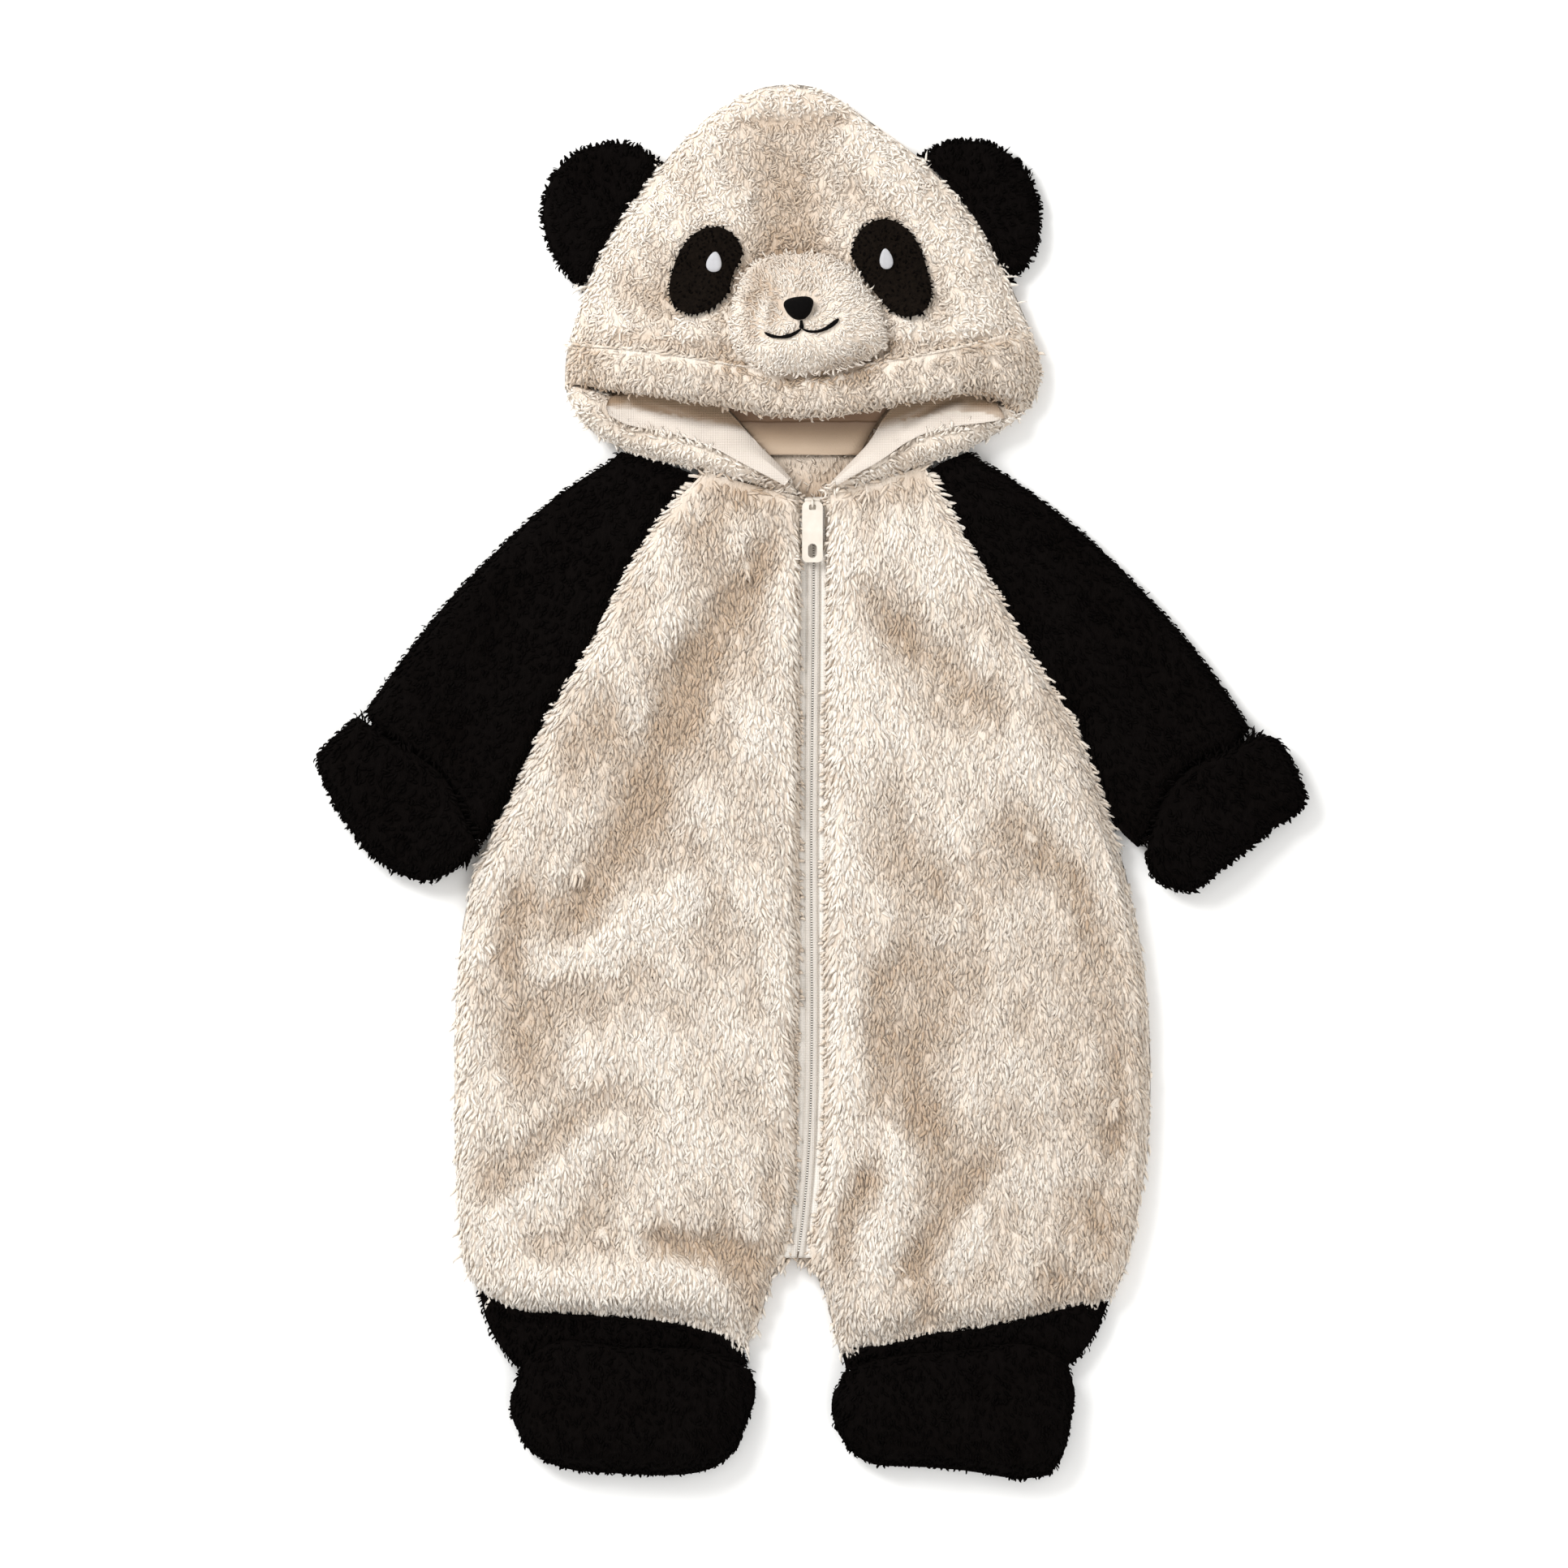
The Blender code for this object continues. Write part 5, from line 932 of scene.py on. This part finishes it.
# %% Styles and directions
PLAIN = dict(
    wave=0.5,  # mm that a lock sways sideways
    spread=45,  # degrees that it turns from the flow
    hem=0.0,  # share by which it is longer where it hangs over a hem
    splay=0.8, fuzz=0.5,  # how far it bends outwards at a seam, and at a free edge
    inner=1.0,  # share of the locks that grow away from the edge
    tuft=0.0,  # share by which it is longer and stands up at a seam
    # the tone's changes at a hem (lit), in a hollow (deep) and at the rim are painted light and
    # shade
    tone=0.4, lit=0.0, deep=0.0, rim=0.0,  # its tone, and what a hem, a hollow and the rim change
)
STYLES = {  # cell is mm from lock to lock; length, rise and width are mm
    "body": dict(cell=2.4, length=7.6, rise=1.5, width=2.4, wave=0.9, spread=24, hem=0.5,
                 splay=1.6, fuzz=0.25, tuft=0.2, tone=0.69, lit=0.15, deep=0.10, rim=0.24),
    "hood": dict(cell=2.15, length=5.2, rise=1.6, width=2.2, wave=1.5, spread=60, hem=-0.35,
                 splay=1.6, fuzz=0.3, tuft=0.6, tone=0.84, lit=-0.3, deep=0.13, rim=0.20),
    # the band's low tone is painted shade, as is the darker hem that lit below 0 gives hood and
    # band
    "band": dict(cell=2.15, length=5.2, rise=1.6, width=2.2, wave=1.4, spread=55, hem=-0.35,
                 fuzz=0.7, tone=0.26, lit=-0.3, deep=0.12, rim=0.12),
    "flap": dict(cell=2.1, length=4.2, rise=1.4, width=2.0, wave=1.2, spread=50, hem=-0.5,
                 fuzz=0.25, tone=0.81, lit=0.1, deep=0.02, rim=0.1),
    "back": dict(cell=3.2, length=8.0, rise=1.6, width=3.0, wave=1.0, spread=26, hem=0.3,
                 splay=1.4, fuzz=0.25, tone=0.76, deep=0.08, rim=0.05),
    "muzzle": dict(cell=1.7, length=3.8, rise=1.4, width=1.6, wave=1.0, spread=60, hem=0.1,
                   splay=1.0, fuzz=0.4, tone=0.90, deep=0.05, rim=0.08),
    "plush": dict(cell=2.2, length=3.6, rise=1.6, width=1.7, splay=0.5, fuzz=0.8, inner=0.45),
    "cuff": dict(cell=2.2, length=4.2, rise=1.6, width=1.9, splay=2.2, fuzz=0.6, inner=0.45,
                 tuft=0.3),
    "patch": dict(cell=1.8, length=2.2, rise=0.9, width=1.3, wave=0.4, spread=80, inner=0.6),
}
STYLES = {name: PLAIN | own for name, own in STYLES.items()}


def towards(x, y):
    """The same direction everywhere."""
    step = np.array([x, y]) / np.hypot(x, y)
    return lambda place: np.broadcast_to(step, (len(place), 2))


def away_from(x, y):
    """Outwards from a point."""
    def flow(place):
        out = place[:, :2] - (x, y)
        return out / np.maximum(np.linalg.norm(out, axis=1, keepdims=True), 1e-3)
    return flow

# %% [markdown]
# ## Cream pieces
# The table gives, for each cream piece, the rectangle it is cut from, the share of it that the
# pattern fills, its style of pile and its direction. The sizes come from the solids' own area.

# %% Dress a piece
FINISHES = {"cream_fleece": (CREAM_BACKING, CREAM_PILE), "black_plush": (BLACK_BACKING, BLACK_PILE)}


def dressed(name, kind, style, flow, clear, seed, **form):
    """A piece's shell and its pile, both of one kind of cloth. form goes on to the shell."""
    under, hair = FINISHES[kind]
    cloth, skin = shell(name, under, **form)
    fur = grow(skin, STYLES[style], flow, hair, clear, seed)
    return cloth, fur


def sewn(size, share):
    """Works out the area of a sheet cut from a rectangle of that size, of which it fills a share.
    The area is not kept or used.
    """
    width, length = np.array(size) * MM
    float(width * length * share)

# %% Dress the cream pieces
DOWN = towards(0, -1)
FACE = ["eye_patch_left", "eye_patch_right", "muzzle", "nose"]
ZIP = ["zip_tape_left", "zip_tape_right", "zip_coil", "zip_slider", "zip_pull"]
CREAM_CUT = (  # piece, width, length, share filled, style, flow, kept clear of, rests on
    ("back_body", 372, 468, 0.77, "back", DOWN, (), ()),
    ("front_left", 190, 458, 0.77, "body", DOWN, ZIP, ("back_body",)),
    ("front_right", 190, 458, 0.75, "body", DOWN, ZIP, ("back_body",)),
    ("hood_back", 247, 189, 0.78, "back", DOWN, LININGS, ()),
    ("hood_top", 250, 150, 0.69, "hood", DOWN, FACE, ("hood_back",)),
    ("hood_band", 262, 40, 0.84, "band", DOWN, ["muzzle"], ("hood_back",)),
    ("hood_flap_left", 130, 42, 0.80, "flap", towards(-0.35, -1), LININGS + ZIP, ("front_left",)),
    ("hood_flap_right", 112, 38, 0.80, "flap", towards(0.35, -1), LININGS + ZIP, ("front_right",)),
)
for seed, (name, wide, long, share, style, flow, clear, below) in enumerate(CREAM_CUT, 11):
    levels = 1 if name == "back_body" else 2
    cloth, fur = dressed(name, "cream_fleece", style, flow, clear, seed, levels=levels)
    sewn((wide, long), share)

# %% [markdown]
# ## Black pieces
# Sleeves, cuffs, ankle bands and feet are a black plush with shorter pile, whose single locks
# hardly show: the surface reads as a soft dark mass with a fuzzy edge. So fewer locks grow away
# from the edges, and the dark backing shows between them.

# %% Dress the black pieces
CREAM = [row[0] for row in CREAM_CUT]
BLACK_CUT = (  # piece, width, length, share filled, flow, rests on
    ("sleeve_left", 200, 240, 0.70, towards(-0.65, -0.76), ()),
    ("sleeve_right", 200, 235, 0.66, towards(0.68, -0.73), ()),
    ("cuff_left", 165, 60, 0.98, towards(-0.65, -0.76), ()),
    ("cuff_right", 165, 60, 0.98, towards(0.68, -0.73), ()),
    ("ankle_left", 230, 48, 0.97, DOWN, ()),
    ("ankle_right", 225, 44, 0.96, DOWN, ()),
    ("foot_sole_left", 126, 55, 0.95, DOWN, ()),
    ("foot_sole_right", 126, 55, 0.95, DOWN, ()),
    ("foot_upper_left", 127, 74, 0.96, DOWN, ("foot_sole_left",)),
    ("foot_upper_right", 127, 74, 0.96, DOWN, ("foot_sole_right",)),
)
for seed, (name, wide, long, share, flow, below) in enumerate(BLACK_CUT, 31):
    style, inset = ("cuff", 0.7) if name.startswith("cuff") else ("plush", 1.6)
    form = dict(levels=1, sideways=inset)
    cloth, fur = dressed(name, "black_plush", style, flow, CREAM, seed, **form)
    sewn((wide, long), share)

# %% [markdown]
# ## Ears and muzzle
# These three are stuffed. Their shells keep the solids' full form, and the pile spreads from the
# middle outwards, so that it stands up all round the edge.

# %% Dress the stuffed pieces
for name, middle in (("ear_left", (-98, 290)), ("ear_right", (78, 292))):
    cloth, _ = dressed(name, "black_plush", "plush", away_from(*middle), CREAM, 51, levels=1)
from_nose = away_from(-5, 243)
cloth, _ = dressed(
    "muzzle", "cream_fleece", "muzzle", from_nose, ["nose"], 61, sideways=1.2, down=0.8
)

# %% [markdown]
# ## Linings, zip tapes and the face's patches
# The lining is a smooth knit, the tapes are woven, and the eye patches are short dense plush with
# a cut edge. The linings and patches keep their solids' form as thin shells. The linings' lower
# edge is let down a little, so that it runs along the flaps where the pile comes up over it.

# %% Finishes of the flat cloths
ONE_BAND = 0.314  # Scale of a wave texture whose bands are a metre apart


def woven(name, dark, light, pitch, depth, deep=(1.0, 1.0, 1.0), gloss=0.2):
    """Crossing threads: two rows of waves at that pitch in millimetres, one over the other.

    Where the shade attribute is 1, the colour is multiplied by deep: painted shade where deep is
    below 1, painted light where it is above 1.
    """
    paint = Paint(name)
    place = paint.add("TexCoord", output="Object")
    sockets = {"Vector": place, "Scale": ONE_BAND / (pitch * MM), "Distortion": 0.6}
    ribs, rows = (
        paint.add("TexWave", {"wave_type": "BANDS", "bands_direction": way}, sockets)
        for way in ("X", "Y")
    )
    threads = ribs * 0.5 + rows * 0.5
    cloudy = paint.noise(18.0, 3.0)
    colour = paint.ramp(threads * 0.6 + cloudy * 0.4, [(0.25, dark), (0.75, light)])
    return paint.done(
        Base_Color=paint.painted_shade_and_light(colour, deep),
        Roughness=0.85,
        Specular_IOR_Level=gloss,
        Normal=paint.bump(threads, depth),
    )


def shaded_lining(name):
    """Lining inside the neck, with the hood's shade painted on: paler towards the neck seam, with a
    dark line of painted shade where it folds across.

    The share along the colour row is (y - 173 mm) / 16 mm.
    """
    paint = Paint(name)
    place = paint.add("SeparateXYZ", {}, {0: paint.add("TexCoord", output="Object")}, output=1)
    share = place * (1 / (16 * MM)) - 173 / 16 + 0.1 * paint.noise(14.0)
    rows = [
        (0.05, (0.50, 0.385, 0.285)), (0.50, (0.375, 0.27, 0.185)), (0.84, (0.28, 0.19, 0.13)),
        (0.89, (0.13, 0.075, 0.045)), (0.94, (0.26, 0.165, 0.105)), (1.0, (0.25, 0.155, 0.10)),
    ]
    grain = paint.noise(0.8, 3.0)
    return paint.done(
        Base_Color=paint.ramp(share, rows),
        Roughness=0.85,
        Specular_IOR_Level=0.2,
        Normal=paint.bump(grain, 0.2),
    )


BACK_LINING = shaded_lining("back_lining_cloth")


def moulded(name, dark, light):
    """Smooth painted metal or nylon: a fine cloudy tone, a soft gloss and shallow ripples."""
    paint = Paint(name)
    cloudy = paint.noise(6.0, 3.0)
    return paint.done(
        Base_Color=paint.ramp(cloudy, [(0.3, dark), (0.7, light)]),
        Roughness=0.38 + 0.1 * cloudy,
        Normal=paint.bump(paint.noise(0.7, 2.0), 0.04),
    )


DIM = (0.50, 0.39, 0.29)  # light that is left in a deep fold of the lining
LINING = woven("lining_cloth", (0.62, 0.545, 0.475), (0.735, 0.67, 0.605), 0.9, 0.25, DIM)
PAINTED_LIGHT_TAPE = (1.34, 1.36, 1.38)  # painted light: the tapes' flat parts are made paler than their ribs
TAPE = woven("zip_tape", (0.57, 0.53, 0.48), (0.71, 0.665, 0.61), 0.8, 0.3, PAINTED_LIGHT_TAPE)
NYLON = moulded("zip_nylon", (0.60, 0.57, 0.53), (0.78, 0.75, 0.70))
PAINTED = moulded("zip_paint", (0.63, 0.575, 0.50), (0.72, 0.66, 0.585))
PATCH = backing("eye_plush", (0.003, 0.002, 0.0014), (0.009, 0.006, 0.004), (1, 1, 1), 0.05)
SATIN = woven("black_thread", (0.001, 0.001, 0.001), (0.006, 0.005, 0.005), 0.5, 0.25, gloss=0.04)
GLINT = woven("glint_thread", (0.38, 0.38, 0.40), (0.62, 0.62, 0.64), 0.5, 0.2)

# %% Dress the linings and the eye patches
CORNER = -105  # mm along x, where the left flap's lining goes in under the fleece


def lowered(name, points):
    """A lining with its lower edge let down over the fleece: y - drop (1 - t)^1.5 mm.

    t goes from 0 at the lower edge to 1 at the upper one. The part beyond CORNER is drawn
    together to a fifth of its width.
    """
    x, y = points[:, 0], points[:, 1]
    low, high, drop = edges_of_lining(name, x)
    t = np.clip((y - low) / np.maximum(high - low, 3), 0, 1)
    changed = points.copy()
    changed[:, 1] -= drop * (1 - t) ** 1.5
    changed[:, 0] = np.where(x < CORNER, CORNER + (x - CORNER) * 0.2, x)
    return changed


FLAT_CUT = (  # piece, width, length, share filled, material, kind of cloth, rests on
    ("flap_lining_left", 104, 30, 0.78, LINING, "lining_cloth", ("hood_flap_left",)),
    ("flap_lining_right", 97, 28, 0.77, LINING, "lining_cloth", ("hood_flap_right",)),
    ("back_lining", 104, 35, 0.765, BACK_LINING, "lining_cloth", ("hood_back",)),
    ("eye_patch_left", 40, 47, 0.69, PATCH, "black_plush", ("hood_top",)),
    ("eye_patch_right", 42, 52, 0.73, PATCH, "black_plush", ("hood_top",)),
)
for name, wide, long, share, material, slot, below in FLAT_CUT:
    levels, cut = (3, lowered) if name in LININGS else (2, None)
    cloth, skin = shell(name, material, levels, 0.0, 0.0, LINING_CREASES, stiff=1.0, cut=cut)
    if material is PATCH:
        grow(skin, STYLES["patch"], DOWN, BLACK_PILE, (), 71)
    sewn((wide, long), share)

# %% [markdown]
# ## Nose and glints
# The nose is a small stuffed pad of black satin, wide and flat at the top and narrow at the mouth.
# The glints in the eyes are pads of pale thread, shaped like drops. Squashed spheres would miss
# both outlines. So a rim is worked out around the middle, and shrinking copies of it rise to the
# crown: one number makes the pad wider towards one end, and another makes it squarer.

# %% Domed pads
def pad_rings(middle, size, taper, square, tilt, low, high, around=40):
    """Rings of a pad: its rim is x = w c (1 + a s) / (1 + |a|), y = t s, raised to a dome.

    c and s are the cosine and sine of the way round, with their sizes to the power 1 - square.
    The rim is then turned by tilt. Of each ring, the width goes with cos(k) and the height with
    sin(k), k being 0 at the rim and 82 degrees at the crown.
    """
    turn = np.linspace(0, 2 * np.pi, around, endpoint=False)
    cos = np.sign(np.cos(turn)) * np.abs(np.cos(turn)) ** (1 - square)
    sin = np.sign(np.sin(turn)) * np.abs(np.sin(turn)) ** (1 - square)
    wide = cos * (1 + taper * sin) / (1 + abs(taper))
    rim = np.stack([size[0] / 2 * wide / np.max(wide), size[1] / 2 * sin], axis=1)
    a = np.radians(tilt)
    rim = rim @ np.array([[np.cos(a), np.sin(a)], [-np.sin(a), np.cos(a)]])
    up = np.radians([0, 12, 26, 42, 58, 72, 82])
    share = np.insert(np.cos(up) ** 0.55, 0, 0.9)
    level = np.insert(low + (high - low) * (0.3 + 0.7 * np.sin(up)), 0, low)
    rings = np.empty((len(share), around, 3))
    rings[..., :2] = np.array(middle) + rim * share[:, None, None]
    rings[..., 2] = level[:, None]
    return rings


def pad(name, middle, size, taper, square, tilt, sunk, material):
    """A pad that stands for a solid, as high as it and as far down, and that much further."""
    low, high = (corner.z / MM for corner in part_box(name))
    rings = pad_rings(middle, size, taper, square, tilt, low - sunk, high - 0.1)
    piece = loft(name + "_cloth", rings, material)
    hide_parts(name)
    print(name, np.round(size, 1), "mm")
    return piece


nose = pad("nose", (-6.5, 244.6), (15.6, 12.2), 0.34, 0.22, 7, 1.2, SATIN)
for name, tilt in (("eye_glint_left", -8), ("eye_glint_right", 6)):
    low, high = (np.array(corner)[:2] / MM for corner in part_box(name))
    glint = pad(name, (low + high) / 2, high - low, -0.3, 0.0, tilt, 0.0, GLINT)

# %% [markdown]
# ## Zip
# The zip lies teeth down, so what shows is two smooth woven ribs, one on each tape, with the coil
# in the groove between them. Each tape is one profile carried along the zip's middle line. The
# coil is a row of short rounded bars across it. The slider and its pull tab are plain hard pieces
# whose solids are already fine enough, so they only get their paint.

# %% Tapes with their ribs
TAPE_PROFILE = (  # distance from the middle, height, of the closed outline, anticlockwise
    (14.9, 8.45), (14.9, 9.25), (9.0, 9.5), (5.2, 9.7), (4.4, 9.5), (3.9, 9.1), (3.4, 9.6),
    (2.9, 10.4), (2.1, 10.9), (1.2, 10.8), (0.6, 10.3), (0.4, 9.6), (0.3, 8.9), (0.3, 8.45),
)
FLAT_HEIGHT = 9.5  # mm, to which the ribs go down under the slider
along_zip = np.linspace(147.4, -246.0, 240)
under_slider = np.clip((along_zip - 130) / 6, 0, 1)[:, None]
for side, sign in (("left", -1), ("right", 1)):
    away, height = np.array(TAPE_PROFILE).T
    height = height + (np.minimum(height, FLAT_HEIGHT) - height) * under_slider
    rings = np.empty((len(along_zip), len(away), 3))
    rings[..., 0] = middle_of_zip(along_zip)[:, None] + sign * away
    rings[..., 1] = along_zip[:, None]
    rings[..., 2] = height
    # painted light on the tapes' flat parts, more on the right tape than on the left
    flat = np.clip((away - 3.4) / 1.2, 0, 1) * (1.0 if side == "right" else 0.6)
    shade = np.tile(flat[::sign], len(along_zip))
    tape = loft(f"zip_tape_{side}_cloth", rings[:, ::sign], TAPE, shade)
    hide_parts("zip_tape_" + side)
    sewn((18, 392), 0.98)
print("tapes", round(along_zip[0] - along_zip[-1]), "mm long")

# %% Coil
TOOTH = 1.3  # mm from one bar to the next
COIL_HEIGHT = 10.05  # mm, of the bars' middle
SIX = 6  # corners of a bar's rings
bars = np.arange(136.0, -243.0, -TOOTH)
turn = np.linspace(0, 2 * np.pi, SIX + 1)[:-1]
reach = np.array([-0.55, -0.4, 0.4, 0.55])  # mm, where a bar's rings are
girth = np.array([0.12, 0.42, 0.42, 0.12])  # mm, their radius
bar = np.stack([
    reach[:, None] + 0 * turn, girth[:, None] * np.cos(turn), girth[:, None] * np.sin(turn)
], axis=-1)
places = np.stack([middle_of_zip(bars), bars, np.full(len(bars), COIL_HEIGHT)], axis=-1)
points = (places[:, None, None] + bar).reshape(-1, 3)
ring = np.arange(SIX)
side = np.stack([ring, (ring + 1) % SIX, (ring + 1) % SIX + SIX, ring + SIX], axis=1)
sides = np.concatenate([side + SIX * k for k in range(len(reach) - 1)])
ends = np.array([ring[::-1], ring + SIX * (len(reach) - 1)])
start = np.arange(len(bars))[:, None, None] * SIX * len(reach)
faces = [(start + sides).reshape(-1, 4), (start + ends).reshape(-1, SIX)]
coil = put("zip_coil_bars", points, faces, NYLON)
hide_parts("zip_coil")
print("coil bars", len(bars))

# %% Slider and pull keep their solids
for name in ("zip_slider", "zip_pull"):
    for place in NODES[name].material_slots:
        place.material = PAINTED

# %% [markdown]
# ## Embroidered mouth
# The mouth is three lines of black thread. Each is a round bead carried along a smooth line, at
# the height of the muzzle under it, and a fine weave in its finish gives the stitches. A texture
# alone would leave the thread flat. A brown thread at the end of the right lining is made the same
# way: it tacks the lining to the fleece.

# %% Thread lines
LINE_POINTS = 24


def smooth_line(rows, count):
    """Points along a line that bends smoothly near the rows: x and y are each a polynomial.

    It is fitted along the line's length, and is of the third degree or less.
    """
    rows = np.array(rows, float)
    step = np.insert(np.cumsum(np.linalg.norm(np.diff(rows, axis=0), axis=1)), 0, 0)
    order = min(len(rows) - 1, 3)
    at = np.linspace(0, step[-1], count)
    return np.stack([np.polyval(np.polyfit(step, rows[:, k], order), at) for k in (0, 1)], axis=1)


def bead(path, radius, around=8):
    """Rings of a round bead along a path, as thick as radius says at even steps along it.

    The radius is multiplied by (1 - t^8)^0.5, t being -1 and 1 at its ends, which rounds them.
    """
    ahead = np.gradient(path, axis=0)
    ahead /= np.linalg.norm(ahead, axis=1, keepdims=True)
    side = np.stack([-ahead[:, 1], ahead[:, 0], np.zeros(len(path))], axis=1)
    turn = np.linspace(0, 2 * np.pi, around + 1)[:-1]
    step = np.linspace(-1, 1, len(path))
    girth = np.interp(step, np.linspace(-1, 1, len(radius)), radius)
    girth = girth * np.sqrt(np.clip(1 - step**8, 0.05, 1))
    ring = np.cos(turn)[:, None] * side[:, None] + np.sin(turn)[:, None] * (0, 0, 0.8)
    return path[:, None] + ring * girth[:, None, None]


def sewn_line(name, line, under, radius, material):
    """A thread along a line, 0.5 mm above the solid under it, and as low as its creases.

    The solid's height along the line is smoothed by a parabola through its points.
    """
    plan = smooth_line(line, LINE_POINTS)
    height = COLUMNS[under][0][square_of(plan)]
    step = np.arange(LINE_POINTS)
    held = height > 0
    height = np.polyval(np.polyfit(step[held], height[held], min(2, held.sum() - 1)), step) + 0.5
    height = np.clip(height, height[held].min(), height[held].max())
    if under == "muzzle":
        raw = creased(plan[:, 0], plan[:, 1], CREASES)
        height = height + np.minimum(settled(raw, thickness(under, plan), STIFF), 0)
    thread = loft(name, bead(np.column_stack([plan, height]), radius), material)


MOUTH_GIRTH = (  # mm, along each line
    (0.8, 1.0, 1.6), (0.7, 0.9, 1.1, 0.7, 1.0, 0.9), (0.6, 0.7, 0.8, 1.2, 1.3),
)
for count, (line, girth) in enumerate(zip(MOUTH_LINES, MOUTH_GIRTH)):
    sewn_line(f"mouth_thread_{count}", line, "muzzle", girth, SATIN)
BROWN_THREAD = woven("brown_thread", (0.10, 0.07, 0.05), (0.20, 0.15, 0.11), 0.5, 0.25)
TACK = ((94.2, 198.8), (95.8, 195.5), (98.4, 191.6))
sewn_line("lining_tack", TACK, "flap_lining_right", (0.3, 0.45, 0.3), BROWN_THREAD)
print("mouth lines", len(MOUTH_LINES))

# %% [markdown]
# ## Camera, light and floor
# The garment is seen from straight above. A long lens far away keeps its sides from leaning. The
# light is a large soft window from the upper left, a weaker and wider one from the lower right,
# and a pale sky. All three are nearly white, because the colours belong to the cloth.

# %% Stage
PIXEL = 0.42  # mm on the floor for each pixel of a square image
PIXELS = 1932  # along each side of it
AWAY = 20.0  # m
MIDDLE = (-14.3 * MM, -1.0 * MM)  # of what the camera sees
camera = bpy.data.cameras.new("camera")
camera.sensor_width = 36
camera.lens = camera.sensor_width * AWAY / (PIXELS * PIXEL * MM)
camera.clip_end = 60
eye = bpy.data.objects.new("camera", camera)
eye.location = (*MIDDLE, AWAY)
bpy.context.scene.collection.objects.link(eye)
bpy.context.scene.camera = eye


def lamp(name, size, power, place):
    """A square area light that faces the garment."""
    light = bpy.data.lights.new(name, "AREA")
    light.size = size
    light.energy = power
    holder = bpy.data.objects.new(name, light)
    holder.location = place
    holder.rotation_euler = (-holder.location).to_track_quat("-Z", "Y").to_euler()
    bpy.context.scene.collection.objects.link(holder)


lamp("window", 1.2, 68, (-1.5, 1.5, 1.9))
lamp("fill", 2.2, 20, (1.0, -1.4, 2.0))
world = bpy.data.worlds.new("sky")
world.use_nodes = True
world.node_tree.nodes["Background"].inputs["Color"].default_value = (1.0, 0.99, 0.975, 1)
world.node_tree.nodes["Background"].inputs["Strength"].default_value = 0.79
bpy.context.scene.world = world
bpy.context.scene.view_settings.view_transform = "Standard"

floor_paint = Paint("floor")
FLOOR = floor_paint.done(
    Base_Color=floor_paint.ramp(
        floor_paint.noise(900, 1.0), [(0.0, (0.93, 0.93, 0.92)), (1.0, (0.96, 0.96, 0.955))]
    ),
    Roughness=0.9,
)
HALF_FLOOR = 4000  # mm
FLOOR_LEVEL = -0.05  # mm, just under the garment
LINES = 9  # of points, each way
along = np.linspace(-HALF_FLOOR, HALF_FLOOR, LINES)
u, v = np.meshgrid(along, along, indexing="ij")
plane = np.stack([u.ravel(), v.ravel(), np.full(u.size, FLOOR_LEVEL)], axis=1)
first = (np.arange(LINES - 1)[:, None] * LINES + np.arange(LINES - 1)).reshape(-1, 1)
floor_faces = np.concatenate([first, first + LINES, first + LINES + 1, first + 1], axis=1)
floor_mesh = bpy.data.meshes.new("floor")
floor_mesh.from_pydata((plane * MM).tolist(), [], floor_faces.tolist())
floor_mesh.materials.append(FLOOR)
floor = bpy.data.objects.new("floor", floor_mesh)
bpy.context.scene.collection.objects.link(floor)
